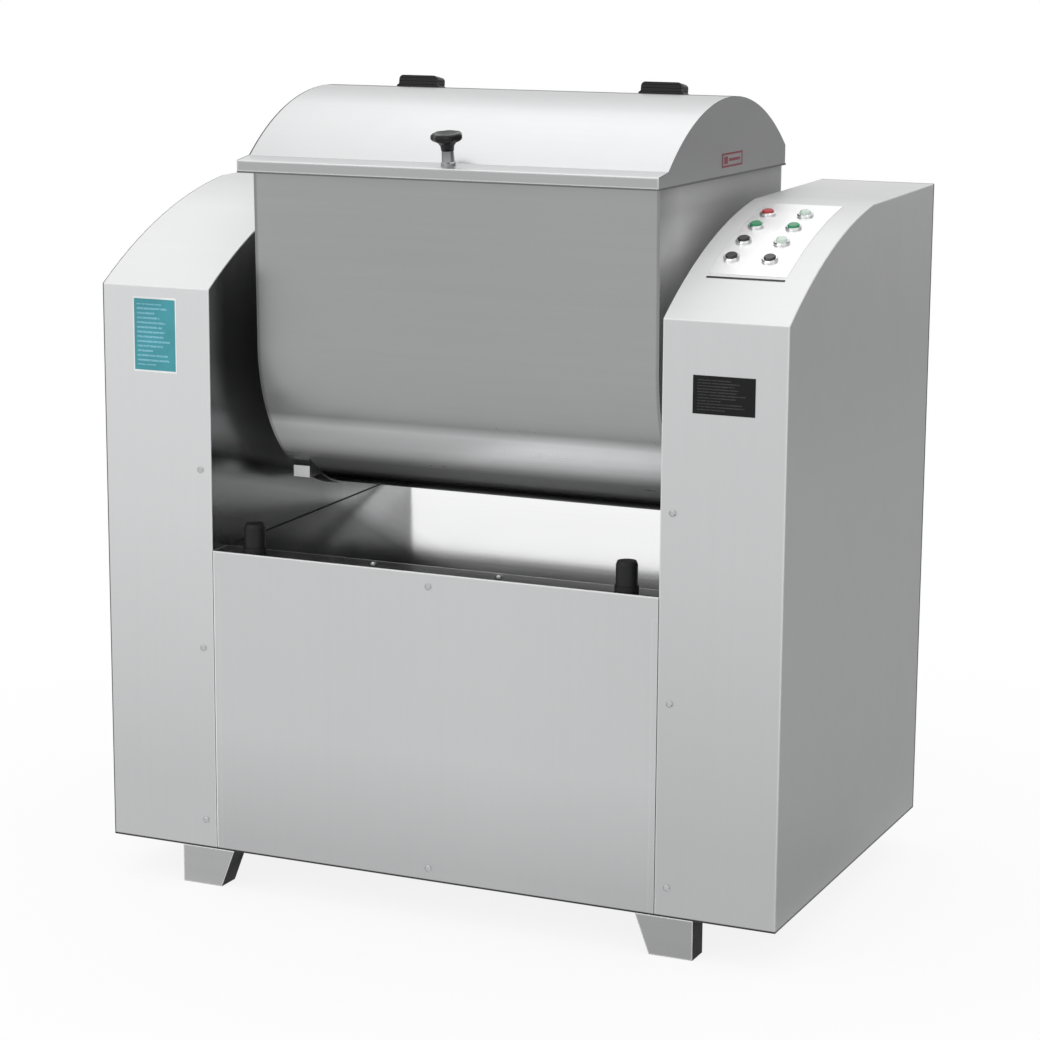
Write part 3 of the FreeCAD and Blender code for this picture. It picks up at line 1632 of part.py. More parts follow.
def control_holes(label, first_radius, length):
    holes = []
    for spot in list(BUTTONS.values()) + list(LAMPS.values()):
        x, angle = control_place(spot)
        y, z = on_column_arc(angle, first_radius)
        radius = s.bezel_barrel + s.hole_clearance
        holes.append(cylinder(label, radius, as_size(length), x, y, z, angle))
    tools = doc.addObject("Part::Compound", f"{label}s")
    tools.Links = holes
    return tools


def pierced(label, base, tools):
    cut = doc.addObject("Part::Cut", label)
    cut.Label = label
    cut.Base = base
    cut.Tool = tools
    return keep(cut)


def control_panel():
    """Thin curved plate on the right column's top."""
    body = new_body("panel_blank")
    inner = s.column_arc_radius
    outer = s.column_arc_radius + s.panel_plate
    outline = [
        (*on_column_arc(s.panel_low_angle, inner), column_arc(inner, "cw")),
        on_column_arc(s.panel_high_angle, inner),
        (*on_column_arc(s.panel_high_angle, outer), column_arc(outer, "ccw")),
        on_column_arc(s.panel_low_angle, outer),
    ]
    add_slab(body, "YZ_Plane", [outline], near_x + s.panel_inset, s.panel_width)
    depth = 10 * s.casing_sheet
    tools = control_holes("panel_hole", s.column_arc_radius - depth / 2, depth)
    pierced("control_panel", body, tools)


def push_button(label, spot):
    x, angle = control_place(spot)
    y, z = on_column_arc(angle, s.column_arc_radius + s.panel_plate)
    edge = s.button_height * 0.2
    cap = [
        (0, -1 * s.button_stem),
        (s.button_radius * 0.6, -1 * s.button_stem),
        (s.button_radius * 0.6, -1 * s.button_stem / 2),
        (s.button_radius, -1 * s.button_stem / 2),
        (s.button_radius, s.button_height - edge),
        (s.button_radius - edge, s.button_height),
        (0, s.button_height),
    ]
    body = turned_piece(label, cap)
    place(body, x, y, z, angle)
    keep(body)


def pilot_lamps():
    lamps = []
    for label, spot in LAMPS.items():
        x, angle = control_place(spot)
        y, z = on_column_arc(angle, s.column_arc_radius + s.panel_plate)
        top = s.button_height * 1.4
        lens = [
            (0, -1 * s.button_stem),
            (s.button_radius, -1 * s.button_stem),
            (s.button_radius, s.bezel_height),
            (s.button_radius * 0.85, top * 0.8),
            (s.button_radius * 0.45, top),
            (0, top),
        ]
        body = turned_piece(label, lens)
        place(body, x, y, z, angle)
        lamps.append(body)
    group("pilot_lamps", lamps)


def button_bezels():
    """Bright ring on the panel and a barrel through it, one for each button and lamp."""
    rings = []
    bore = s.button_radius + s.running_fit
    for spot in list(BUTTONS.values()) + list(LAMPS.values()):
        x, angle = control_place(spot)
        y, z = on_column_arc(angle, s.column_arc_radius + s.panel_plate)
        corners = [
            (bore, -1 * s.bezel_barrel_length),
            (s.bezel_barrel, -1 * s.bezel_barrel_length),
            (s.bezel_barrel, 0),
            (s.bezel_radius, 0),
            (s.bezel_radius, s.bezel_height * 0.6),
            (s.bezel_barrel, s.bezel_height),
            (bore, s.bezel_height),
        ]
        body = turned_piece("button_bezel", corners)
        place(body, x, y, z, angle)
        rings.append(body)
    group("button_bezels", rings)


# Small pieces

def bumpers():
    """Rubber stops on the panel's flange, on which the lid's lip lands when the trough is tipped."""
    stops = []
    r = s.bumper_radius
    corners = [
        (0, 0),
        (r, 0),
        (r, s.bumper_foot),
        (r * 0.9, s.bumper_foot),
        (r * 0.9, s.bumper_height * 0.88),
        (r * 0.78, s.bumper_height),
        (0, s.bumper_height),
    ]
    for side in SIDES.values():
        body = turned_piece("bumper", corners)
        place(body, side * (near_x - s.bumper_inset), front_y + s.bumper_from_front, panel_top)
        stops.append(body)
    group("bumpers", stops)


def screw_head(x, y, z, turn=None):
    r = s.screw_radius
    corners = [
        (0, 0),
        (r, 0),
        (r, s.screw_height * 0.4),
        (r * 0.6, s.screw_height),
        (0, s.screw_height),
    ]
    body = turned_piece("cover_screw", corners)
    place(body, x, y, z, turn)
    return body


def cover_screws():
    """Pan heads on the casing edges, the panel's face and flange, and the rear covers."""
    screws = []
    for side in SIDES.values():
        edge_x = side * (near_x + s.screw_from_edge)
        for height in (s.screw_low_z, s.screw_middle_z, s.screw_high_z):
            screws.append(screw_head(edge_x, front_y, height, TO_FRONT))
            screws.append(screw_head(edge_x, back_y, height, TO_BACK))
        screws.append(screw_head(side * (far_x - s.screw_from_edge), back_y, s.screw_low_z, TO_BACK))
        screws.append(screw_head(side * s.flange_screw_x, front_y + s.flange_screw_back, panel_top))
    for height in (s.foot_height + s.panel_screw_inset, panel_top - s.panel_screw_inset):
        screws.append(screw_head(0, front_y, height, TO_FRONT))
        screws.append(screw_head(0, back_y, height, TO_BACK))
    group("cover_screws", screws)


# Build

def build():
    keep(column_casing("left", -1))
    shell = column_casing("right", 1)
    depth = 10 * s.casing_sheet
    tools = control_holes("casing_hole", s.column_arc_radius - depth / 2, depth)
    pierced("right_column_casing", shell, tools)
    for name, side in SIDES.items():
        inner_wall(name, side)
        column_rear_cover(name, side)
        bearing_stand(name, side)
        pillow_block(name, side)
        trough_end(name, side)
        foot("front", name, side)
        foot("rear", name, side)
    cable_grommet()
    front_panel()
    deck()
    base_rear_cover()
    base_frame()
    bearing_bolts()
    trough_shell()
    trough_rim()
    trunnion("left", -1, post_far_x - s.trunnion_end_gap)
    trunnion("right", 1, gear_inner_x + s.gear_thickness + s.trunnion_past_gear)
    trunnion_bolts()
    shaft_seals()
    stop_lug()
    lid_shell()
    lid_knob()
    rest_pads()
    hinge_brackets()
    hinge_arms()
    mixing_blade()
    mixing_shafts()
    gear_reducer()
    pulley("reducer_pulley", s.reducer_pulley_radius, s.reducer_input_shaft_radius,
           reducer_far_x - s.reducer_thickness / 2 + s.reducer_boss + overrun,
           s.trough_axis_y, input_z)
    pulley("motor_pulley", s.motor_pulley_radius, s.motor_shaft_radius,
           motor_nose_x - s.motor_shaft_socket + overrun, s.motor_axis_y, motor_z)
    drive_belts()
    main_motor()
    motor_base()
    tilt_gear()
    tilt_pinion()
    tilt_gearmotor()
    electrical_box()
    control_panel()
    for label, spot in BUTTONS.items():
        push_button(label, spot)
    pilot_lamps()
    button_bezels()
    bumpers()
    cover_screws()


def check_and_write():
    for item in doc.Objects:
        faults = [state for state in item.State if state in ("Invalid", "Error")]
        if faults:
            raise RuntimeError(f"{item.Label} is {faults}")
    for item in pieces:
        shape = item.Shape
        if shape.isNull() or not shape.isValid() or not shape.Solids:
            raise RuntimeError(f"{item.Label} has no sound shape")
    for item in pieces:
        item.Shape.exportStep(f"parts/{item.Label}.step")
        print(item.Label, len(item.Shape.Solids), round(item.Shape.Volume))


build()
doc.recompute()
check_and_write()
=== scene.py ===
"""Finishes, fittings, labels and studio for the tilting trough dough mixer."""
import math

import bpy
from bpy.props import FloatProperty, FloatVectorProperty, IntProperty, PointerProperty
from mathutils import Matrix, Vector


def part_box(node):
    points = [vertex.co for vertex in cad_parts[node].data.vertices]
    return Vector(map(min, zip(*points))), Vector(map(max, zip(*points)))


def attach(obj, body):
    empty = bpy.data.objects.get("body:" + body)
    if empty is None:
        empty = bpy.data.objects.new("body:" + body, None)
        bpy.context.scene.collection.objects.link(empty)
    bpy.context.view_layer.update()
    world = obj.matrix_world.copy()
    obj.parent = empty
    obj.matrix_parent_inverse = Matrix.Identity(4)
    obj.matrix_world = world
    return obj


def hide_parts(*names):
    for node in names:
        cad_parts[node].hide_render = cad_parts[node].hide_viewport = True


bl_info = {
    "name": "Dough mixer dressing",
    "version": (1, 0, 0),
    "blender": (4, 5, 0),
    "location": "View3D > Sidebar > Mixer",
    "description": "Finishes, fittings, labels and studio for a tilting trough dough mixer",
    "category": "Object",
}

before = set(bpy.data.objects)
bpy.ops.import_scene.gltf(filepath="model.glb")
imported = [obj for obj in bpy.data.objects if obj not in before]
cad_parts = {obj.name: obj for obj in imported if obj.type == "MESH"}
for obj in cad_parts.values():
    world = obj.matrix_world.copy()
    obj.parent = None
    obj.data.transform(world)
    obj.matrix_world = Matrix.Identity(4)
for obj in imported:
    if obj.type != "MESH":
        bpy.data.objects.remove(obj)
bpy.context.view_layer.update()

SIDEWAYS = (1.0, 0.0, 0.0)
BACKWARD = (0.0, 1.0, 0.0)
UPWARD = (0.0, 0.0, 1.0)

# Places on the machine that fittings share with the frame, in metres and degrees
FRONT_Y = -0.4
BACK_Y = 0.4
SEAM_X = 0.431
PANEL_LOW = 0.073
PANEL_HIGH = 0.6285
DECK_LINE = ((-0.345, 0.6283), (0.395, 0.6413))
LEDGE_Y = -0.3
LEDGE_SLOPE = math.atan2(6.2, 44.0)
KNOB_PLACE = (0, -0.31967, 1.33023)
ARC_Y = 0.177
ARC_Z = 0.221
ARC_RADIUS = 1.052

# The line under the control panel: angle forward of upright, ends, half its width and its height
PANEL_LINE_ANGLE = 26.75
PANEL_LINE_ENDS = (0.466, 0.604)
PANEL_LINE_HALF = 0.0024
PANEL_LINE_HEIGHT = 0.0006

# Thin lines laid on the sheets
LINE_THICKNESS = 0.00015
PANEL_SEAM_WIDTH = 0.0012
LIT_EDGE_WIDTH = 0.002
LIT_EDGE_LOW = 0.076
DECK_SEAM_INSETS = (0.0002, 0.0032)

# Louvre hoods; a cover has the middles of its columns of louvres and the height of its top
COVERS = (
    ("left_rear_cover", (-0.5415,), 1.269),
    ("right_rear_cover", (0.5415,), 1.269),
    ("base_rear_cover", (-0.2155, 0.2155), 0.645),
)
# The first hood lies this far below its cover's top
FIRST_LOUVRE = 0.143
LOUVRE_COUNT = 9
LOUVRE_PITCH = 0.026
HOOD_HALF_WIDTH = 0.063
HOOD_OUT = 0.0033
HOOD_DOWN = 0.006

# The knob's outline: shares of its neck's radius, then of its head's, each with a share of its height
KNOB_NECK = ((1.0, 0.0), (1.12, 0.28), (1.5, 0.46))
KNOB_HEAD = ((0.84, 0.56), (0.97, 0.66), (1.0, 0.76), (0.97, 0.9), (0.86, 1.0), (0.62, 0.95),
             (0.3, 0.88), (0.02, 0.86))
KNOB_SEGMENTS = 84
# Lobes lie outside the first share of the head's radius; the second is half of how far they cut in
LOBES_FROM = 0.7
LOBE_DEPTH = 0.045

# Label fields, as (left, low) and (right, high) corners
TALL_LABEL = ((-0.587, 0.946), (-0.498, 1.081))
DARK_PLATE = ((0.485, 0.947), (0.594, 1.011))

# The small sticker and its marks on the lid's end: front, back, low and high
STICKER = (-0.051, 0.050, 1.321, 1.346)
STICKER_MARKS = (
    (-0.051, 0.050, 1.3425, 1.346),
    (-0.051, 0.050, 1.321, 1.3245),
    (-0.051, -0.047, 1.3245, 1.3425),
    (0.046, 0.050, 1.3245, 1.3425),
    (-0.042, -0.024, 1.327, 1.340),
    (-0.018, 0.038, 1.331, 1.336),
)

# Where the photographer stood, in metres, with yaw, pitch and roll in degrees
CAMERA_PLACE = (2.154, -4.790, 1.715)
CAMERA_ANGLES = (24.271, 11.446, 0.34)

# Lamps and cards: their place, the point that they face and their size
KEY_LAMP = ((-1.6, -4.6, 3.6), (0, 0, 0.8), (4.4, 3.2))
TOP_LAMP = ((0.0, 0.4, 4.4), (0, 0, 1.2), (4.4, 4.4))
RIGHT_CARD = ((3.0, 5.0, 1.5), (2.9, 5.0, 1.5), (12.0, 6.0))
FLOOR_CARD = ((1.85, 4.5, 0.004), (1.85, 4.5, 1.0), (2.3, 11.0))
FLOOR_SIZE = (60, 60)

# Shaded edges of the sheets, as ramps: along the bottom, the back and the left
BOTTOM_EDGE = (UPWARD, [(0.0735, 0.05), (0.075, 1.0)])
BACK_EDGE = (BACKWARD, [(0.3935, 1.0), (0.395, 0.08)])
LEFT_EDGE = (SIDEWAYS, [(-0.6483, 0.05), (-0.6468, 1.0)])

# Painted reflections, as ramps of greys: the tones that the bright sheets mirror of the room and of each
# other, painted into their colour. The lid's ramp is painted light and shade along its depth, and the
# trough's sheen is a ramp of metallic that lightens its painted band of reflection
PAINTED_WALL_REFLECTION = ((0.0, 0.25, 1.0),
              [(0.57, 0.5), (0.594, 0.38), (0.6125, 0.44), (0.65, 0.62), (0.665, 0.66),
               (0.682, 0.48), (0.705, 0.2), (0.72, 0.65), (0.757, 0.64), (0.79, 0.5), (0.88, 0.32)])
PAINTED_DECK_REFLECTION = ((1.0, 1.0, 0.0),
              [(-0.42, 0.12), (-0.372, 0.16), (-0.34, 0.48), (-0.3, 0.85), (-0.26, 1.0)])
PAINTED_TROUGH_REFLECTION = (UPWARD,
                [(0.695, 0.4), (0.71, 0.05), (0.74, 0.19), (0.755, 0.55), (0.763, 0.5), (0.775, 0.4),
                 (0.787, 0.56), (0.8, 0.87), (0.815, 1.0), (0.848, 0.93), (0.868, 0.435), (0.9, 0.425)])
PAINTED_TROUGH_SHEEN = (UPWARD, [(0.735, 1.0), (0.755, 0.7), (0.79, 0.3), (0.85, 0.3), (0.9, 1.0)])
PAINTED_LID_SHADING = (BACKWARD, [(-0.36, 0.95), (-0.3, 0.85), (-0.22, 0.92), (-0.16, 0.98), (-0.04, 0.72)])

# Facing values between which the outline of a rolled sheet darkens, and how dark it gets: a painted dark
# reflection at grazing angles
OUTLINE = (0.915, 0.955)
OUTLINE_SHADE = 0.03

# How each grain scales the noise: a small number draws it out along the grain
GRAIN = {
    "upright": (1.0, 1.0, 0.02),
    "across": (0.02, 1.0, 1.0),
    "round": (1.0, 0.5, 0.5),
}


# Settings

def colour(name, description, default):
    return FloatVectorProperty(
        name=name, description=description, default=default, subtype="COLOR", size=3, min=0, max=1)


def length(name, description, default):
    return FloatProperty(
        name=name, description=description, default=default, subtype="DISTANCE", unit="LENGTH", min=0)


def factor(name, description, default):
    return FloatProperty(
        name=name, description=description, default=default, subtype="FACTOR", min=0, max=1)


class MixerFinish(bpy.types.PropertyGroup):
    casing: colour("Casing", "Satin sheet of the columns", (0.665, 0.67, 0.675))
    # Painted light: the curved tops are the casing's own sheet, painted lighter where they face up
    arc: colour("Curved tops", "Curved tops of the columns", (0.8, 0.803, 0.806))
    foot: colour("Feet", "Fronts of the folded feet", (0.42, 0.422, 0.425))
    panel: colour("Front panel", "Satin sheet of the front panel and covers", (0.6, 0.605, 0.61))
    lid: colour("Lid", "Satin sheet of the lid", (0.68, 0.684, 0.69))
    # Painted shade: the lip is the lid's own sheet, painted darker than the lid
    lip: colour("Lip", "Lip along the lid's front", (0.41, 0.413, 0.416))
    rim: colour("Rim", "Rim of the trough, in the lid's shadow", (0.16, 0.162, 0.165))
    # Painted shade: a darker grey than the lid and the lug, for the lid's end faces and the lug's faces
    # that do not face front
    lid_end: colour("Lid ends", "Ends of the lid, and the lug's strap", (0.4, 0.402, 0.405))
    trough: colour("Trough", "Rolled sheet of the trough", (0.83, 0.836, 0.842))
    trough_end: colour("Trough ends", "Trough's ends, stop lug and knob stem", (0.9, 0.903, 0.906))
    inner_wall: colour("Inner wall", "Sheet beside the trough", (0.64, 0.645, 0.65))
    deck: colour("Deck", "Deck and the front panel's flange", (0.95, 0.952, 0.955))
    polished: colour("Polished steel", "Bezels and blade", (0.78, 0.785, 0.79))
    turned: colour("Turned steel", "Shafts, gears, pulleys and screws", (0.5, 0.505, 0.51))
    casting: colour("Castings", "Bearings and gear reducer", (0.11, 0.13, 0.15))
    frame_paint: colour("Frame paint", "Channel steel inside the base", (0.2, 0.215, 0.23))
    motor_paint: colour("Motor paint", "Motors", (0.07, 0.16, 0.27))
    cabinet: colour("Cabinet", "Electrical box", (0.62, 0.62, 0.6))
    rubber: colour("Rubber", "Bumpers, pads, belts and the feet's sides", (0.012, 0.012, 0.0125))
    plastic: colour("Black plastic", "Knob and black buttons", (0.009, 0.009, 0.01))
    green: colour("Green", "Green buttons", (0.01, 0.3, 0.12))
    red: colour("Red", "Stop button", (0.55, 0.012, 0.02))
    lamp: colour("Lamp", "Lamp lenses", (0.62, 0.74, 0.66))
    overlay: colour("Overlay", "Control plate", (0.92, 0.92, 0.92))
    seal: colour("Seal", "Shaft seals", (0.8, 0.8, 0.76))
    # Painted shade: dark strips laid where the sheets meet, for the shade in the gaps between them
    seam: colour("Seam", "Gaps between the sheets", (0.02, 0.02, 0.02))
    # Painted highlight: a bright strip laid along the front panel's left edge
    lit_edge: colour("Lit edge", "Left edge of the front panel", (0.85, 0.85, 0.85))
    satin: factor("Satin", "Roughness of the satin sheets", 0.34)
    fold: length("Fold", "Radius that the folded edges catch the light with", 0.004)


class MixerLabels(bpy.types.PropertyGroup):
    paper: colour("Label ground", "Ground of the tall label", (0.04, 0.3, 0.35))
    ink: colour("Label lines", "Lines of the tall label", (0.2, 0.5, 0.62))
    border: colour("Label border", "Border of the tall label", (0.86, 0.88, 0.88))
    plate: colour("Plate ground", "Ground of the dark plate", (0.011, 0.011, 0.012))
    plate_ink: colour("Plate lines", "Lines of the dark plate", (0.05, 0.05, 0.052))
    warning: colour("Warning", "Marks of the small sticker", (0.2, 0.012, 0.03))
    sticker: colour("Sticker ground", "Ground of the small sticker", (0.26, 0.25, 0.25))
    thickness: length("Thickness", "Thickness of the labels", 0.0004)
    rows: IntProperty(name="Rows", description="Ruled rows of the tall label", default=16, min=1)
    plate_rows: IntProperty(
        name="Plate rows", description="Ruled rows of the dark plate", default=13, min=1)


class MixerKnob(bpy.types.PropertyGroup):
    radius: length("Head radius", "Radius of the knob's head over its lobes", 0.0285)
    neck: length("Neck radius", "Radius of the knob's neck", 0.011)
    stem: length("Stem", "Height of the bright stem under the knob", 0.025)
    height: length("Height", "Height of the knob above its stem", 0.0305)
    lobes: IntProperty(name="Lobes", description="Lobes round the knob's head", default=7, min=3)


class MixerStudio(bpy.types.PropertyGroup):
    lens: FloatProperty(name="Lens", description="Focal length in mm on a 36 mm sensor", default=99.83)
    key: FloatProperty(name="Key", description="Power of the front lamp in W", default=50, min=0)
    top: FloatProperty(name="Top", description="Power of the top lamp in W", default=34, min=0)
    ambient: FloatProperty(name="Ambient", description="Strength of the sky on dull surfaces", default=0.75)
    floor: colour("Floor", "Floor and backdrop", (0.9, 0.9, 0.9))
    card: colour("Cards", "Cards beside the picture, which the steel mirrors", (0.5, 0.5, 0.5))


# Node helpers

def new_group(name, inputs, outputs):
    """An empty shader group and its input and output nodes."""
    tree = bpy.data.node_groups.new(name, "ShaderNodeTree")
    for label, kind, default in inputs:
        socket = tree.interface.new_socket(label, in_out="INPUT", socket_type=kind)
        if default is not None:
            socket.default_value = default
    for label, kind in outputs:
        tree.interface.new_socket(label, in_out="OUTPUT", socket_type=kind)
    return tree, tree.nodes.new("NodeGroupInput"), tree.nodes.new("NodeGroupOutput")


def fill(tree, made, links):
    """Fills a node's inputs from (input, socket or value) pairs."""
    for target, source in links:
        if isinstance(source, bpy.types.NodeSocket):
            tree.links.new(source, made.inputs[target])
        else:
            made.inputs[target].default_value = source


def node(tree, kind, links=(), **values):
    """Adds a node, sets its properties and fills its inputs."""
    made = tree.nodes.new(kind)
    for key, value in values.items():
        setattr(made, key, value)
    fill(tree, made, links)
    return made


def maths(tree, operation, first, second=0.0):
    """The result of one sum on numbers."""
    made = node(tree, "ShaderNodeMath", [(0, first), (1, second)], operation=operation)
    return made.outputs[0]


def remap(tree, value, low, high, from_low=0.0, from_high=1.0):
    """Runs from low to high, and no further, while the value runs from from_low to from_high."""
    made = node(tree, "ShaderNodeMapRange",
                [("Value", value), ("From Min", from_low), ("From Max", from_high),
                 ("To Min", low), ("To Max", high)])
    return made.outputs["Result"]


def mixed(tree, share, first, second):
    """Two colours mixed, by the share of the second."""
    made = node(tree, "ShaderNodeMix", [(0, share), (6, first), (7, second)], data_type="RGBA")
    return made.outputs[2]


def times(tree, first, second):
    """The product of two vectors or colours, part by part."""
    made = node(tree, "ShaderNodeVectorMath", [(0, first), (1, second)], operation="MULTIPLY")
    return made.outputs[0]


def noise(tree, vector, scale, detail=4.0, roughness=0.55):
    made = node(tree, "ShaderNodeTexNoise",
                [("Vector", vector), ("Scale", scale), ("Detail", detail), ("Roughness", roughness)])
    return made.outputs["Fac"]


def sheet_group():
    """Rolled or brushed sheet: fine grain along one way, broad tonal drift and faint wipes."""
    tree, given, out = new_group(
        "Sheet grain",
        [("Vector", "NodeSocketVector", None), ("Grain", "NodeSocketVector", (1, 1, 1)),
         ("Colour", "NodeSocketColor", (0.6, 0.6, 0.6, 1)), ("Roughness", "NodeSocketFloat", 0.3),
         ("Spread", "NodeSocketFloat", 0.1)],
        [("Colour", "NodeSocketColor"), ("Roughness", "NodeSocketFloat"), ("Height", "NodeSocketFloat")])
    vector = given.outputs["Vector"]
    grain = noise(tree, times(tree, vector, given.outputs["Grain"]), 60.0, 3.0, 0.6)
    drift = noise(tree, vector, 2.2, 2.0)
    wipes = noise(tree, vector, 9.0, 5.0, 0.62)
    low = maths(tree, "SUBTRACT", 1.0, given.outputs["Spread"])
    tone = maths(tree, "ADD", maths(tree, "MULTIPLY", grain, 0.6), maths(tree, "MULTIPLY", drift, 0.4))
    shade = remap(tree, tone, low, 1.0, 0.3, 0.7)
    smear = remap(tree, maths(tree, "ADD", maths(tree, "MULTIPLY", grain, 0.5),
                              maths(tree, "MULTIPLY", wipes, 0.5)), 0.86, 1.16, 0.3, 0.7)
    fill(tree, out, [("Colour", times(tree, given.outputs["Colour"], shade)),
                     ("Roughness", maths(tree, "MULTIPLY", given.outputs["Roughness"], smear)),
                     ("Height", maths(tree, "ADD", grain, maths(tree, "MULTIPLY", drift, 2.0)))])
    return tree


def coat_group():
    """Paint, castings, rubber and plastic: pebbled height, mottled tone and scuffed roughness."""
    tree, given, out = new_group(
        "Coat texture",
        [("Vector", "NodeSocketVector", None), ("Colour", "NodeSocketColor", (0.5, 0.5, 0.5, 1)),
         ("Roughness", "NodeSocketFloat", 0.5), ("Scale", "NodeSocketFloat", 200.0)],
        [("Colour", "NodeSocketColor"), ("Roughness", "NodeSocketFloat"), ("Height", "NodeSocketFloat")])
    pebble = noise(tree, given.outputs["Vector"], given.outputs["Scale"], 3.0)
    mottle = noise(tree, given.outputs["Vector"], 14.0, 4.0)
    shade = remap(tree, mottle, 0.86, 1.08, 0.3, 0.7)
    scuff = remap(tree, mottle, 0.85, 1.15, 0.3, 0.7)
    fill(tree, out, [("Colour", times(tree, given.outputs["Colour"], shade)),
                     ("Roughness", maths(tree, "MULTIPLY", given.outputs["Roughness"], scuff)),
                     ("Height", pebble)])
    return tree


def ruled_group():
    """A printed field: a border and ruled rows of uneven length, with no letters."""
    tree, given, out = new_group(
        "Ruled field",
        [("Vector", "NodeSocketVector", None), ("Ground", "NodeSocketColor", (0, 0.4, 0.4, 1)),
         ("Ink", "NodeSocketColor", (1, 1, 1, 1)), ("Border", "NodeSocketColor", (1, 1, 1, 1)),
         ("Rows", "NodeSocketFloat", 12.0), ("Margin", "NodeSocketFloat", 0.12),
         ("Edge", "NodeSocketFloat", 0.03)],
        [("Colour", "NodeSocketColor")])
    parts = node(tree, "ShaderNodeSeparateXYZ", [("Vector", given.outputs["Vector"])])
    across, up = parts.outputs["X"], parts.outputs["Z"]
    row = maths(tree, "MULTIPLY", up, given.outputs["Rows"])
    number = maths(tree, "FLOOR", row)
    within = maths(tree, "FRACT", row)
    line = maths(tree, "LESS_THAN", maths(tree, "ABSOLUTE", maths(tree, "SUBTRACT", within, 0.5)), 0.2)
    random = node(tree, "ShaderNodeTexWhiteNoise", [("W", number)], noise_dimensions="1D")
    reach = remap(tree, random.outputs["Value"], 0.45, 0.88)
    right = maths(tree, "LESS_THAN", across, reach)
    left = maths(tree, "GREATER_THAN", across, given.outputs["Margin"])
    low = maths(tree, "GREATER_THAN", up, given.outputs["Margin"])
    high = maths(tree, "LESS_THAN", up, maths(tree, "SUBTRACT", 1.0, given.outputs["Margin"]))
    broken = maths(tree, "GREATER_THAN", noise(tree, given.outputs["Vector"], 34.0, 2.0), 0.42)
    for other in (right, left, low, high, broken):
        line = maths(tree, "MULTIPLY", line, other)
    inked = mixed(tree, line, given.outputs["Ground"], given.outputs["Ink"])
    side = maths(tree, "ABSOLUTE", maths(tree, "SUBTRACT", across, 0.5))
    end = maths(tree, "ABSOLUTE", maths(tree, "SUBTRACT", up, 0.5))
    outside = maths(tree, "GREATER_THAN", maths(tree, "MAXIMUM", side, end),
                    maths(tree, "SUBTRACT", 0.5, given.outputs["Edge"]))
    fill(tree, out, [("Colour", mixed(tree, outside, inked, given.outputs["Border"]))])
    return tree


def ribs_group():
    """Moulded ribs along a pad, as a height."""
    tree, given, out = new_group(
        "Moulded ribs", [("Vector", "NodeSocketVector", None), ("Pitch", "NodeSocketFloat", 0.012)],
        [("Height", "NodeSocketFloat")])
    parts = node(tree, "ShaderNodeSeparateXYZ", [("Vector", given.outputs["Vector"])])
    turns = maths(tree, "DIVIDE", parts.outputs["Z"], given.outputs["Pitch"])
    wave = maths(tree, "SINE", maths(tree, "MULTIPLY", turns, 2 * math.pi))
    fill(tree, out, [("Height", remap(tree, wave, 0.0, 1.0, -0.4, 0.4))])
    return tree


def fold_group():
    """Folded edges: a rounded normal, and a mask that is 1 along the fold."""
    tree, given, out = new_group(
        "Folded edge", [("Radius", "NodeSocketFloat", 0.003)],
        [("Normal", "NodeSocketVector"), ("Mask", "NodeSocketFloat")])
    edge = node(tree, "ShaderNodeBevel", [("Radius", given.outputs["Radius"])], samples=6)
    true = node(tree, "ShaderNodeNewGeometry")
    turned = node(tree, "ShaderNodeVectorMath",
                  [(0, edge.outputs["Normal"]), (1, true.outputs["Normal"])], operation="DOT_PRODUCT")
    away = maths(tree, "SUBTRACT", 1.0, turned.outputs["Value"])
    fill(tree, out, [("Normal", edge.outputs["Normal"]),
                     ("Mask", remap(tree, away, 0.0, 1.0, 0.01, 0.08))])
    return tree


def fade_group():
    """How far out a point of the floor lies: 0 beside the machine, 1 away from it."""
    tree, given, out = new_group(
        "Floor fade", [("Vector", "NodeSocketVector", None)], [("Away", "NodeSocketFloat")])
    reach = node(tree, "ShaderNodeVectorMath", [(0, given.outputs["Vector"])], operation="LENGTH")
    fill(tree, out, [("Away", remap(tree, reach.outputs["Value"], 0.0, 1.0, 0.6, 1.9))])
    return tree


GROUPS = {
    "sheet": sheet_group,
    "coat": coat_group,
    "ruled": ruled_group,
    "ribs": ribs_group,
    "fade": fade_group,
    "fold": fold_group,
}


def group(tree, name, links):
    """Puts a shared group into a material, making the group the first time."""
    key = f"mixer_{name}"
    if key not in bpy.data.node_groups:
        made = GROUPS[name]()
        made.name = key
    return node(tree, "ShaderNodeGroup", links, node_tree=bpy.data.node_groups[key])


def opaque(colour_value):
    return (*colour_value, 1.0)


def new_material(name):
    """A material, its node tree, its main shader and its texture coordinates."""
    material = bpy.data.materials.new(name)
    material.use_nodes = True
    tree = material.node_tree
    shader = tree.nodes["Principled BSDF"]
    place = node(tree, "ShaderNodeTexCoord")
    return material, tree, shader, place


def ramped(tree, place, along, stops):
    """A ramp of greys along a direction; stops are (metres, share) pairs."""
    spot = node(tree, "ShaderNodeVectorMath", [(0, place.outputs["Object"]), (1, along)],
                operation="DOT_PRODUCT")
    first, last = stops[0][0], stops[-1][0]
    made = node(tree, "ShaderNodeValToRGB",
                [("Fac", remap(tree, spot.outputs["Value"], 0.0, 1.0, first, last))])
    ramp = made.color_ramp
    for _ in stops[1:-1]:
        ramp.elements.new(0.5)
    for element, (metres, share) in zip(ramp.elements, stops):
        element.position = (metres - first) / (last - first)
        element.color = (share, share, share, 1)
    return made.outputs["Color"]


def with_painted_shading(tree, place, base_colour, ramps):
    """The colour times each ramp of greys, which paints light and shade into it; a ramp is (direction,
    stops).
    """
    for along, stops in ramps:
        base_colour = times(tree, base_colour, ramped(tree, place, along, stops))
    return base_colour


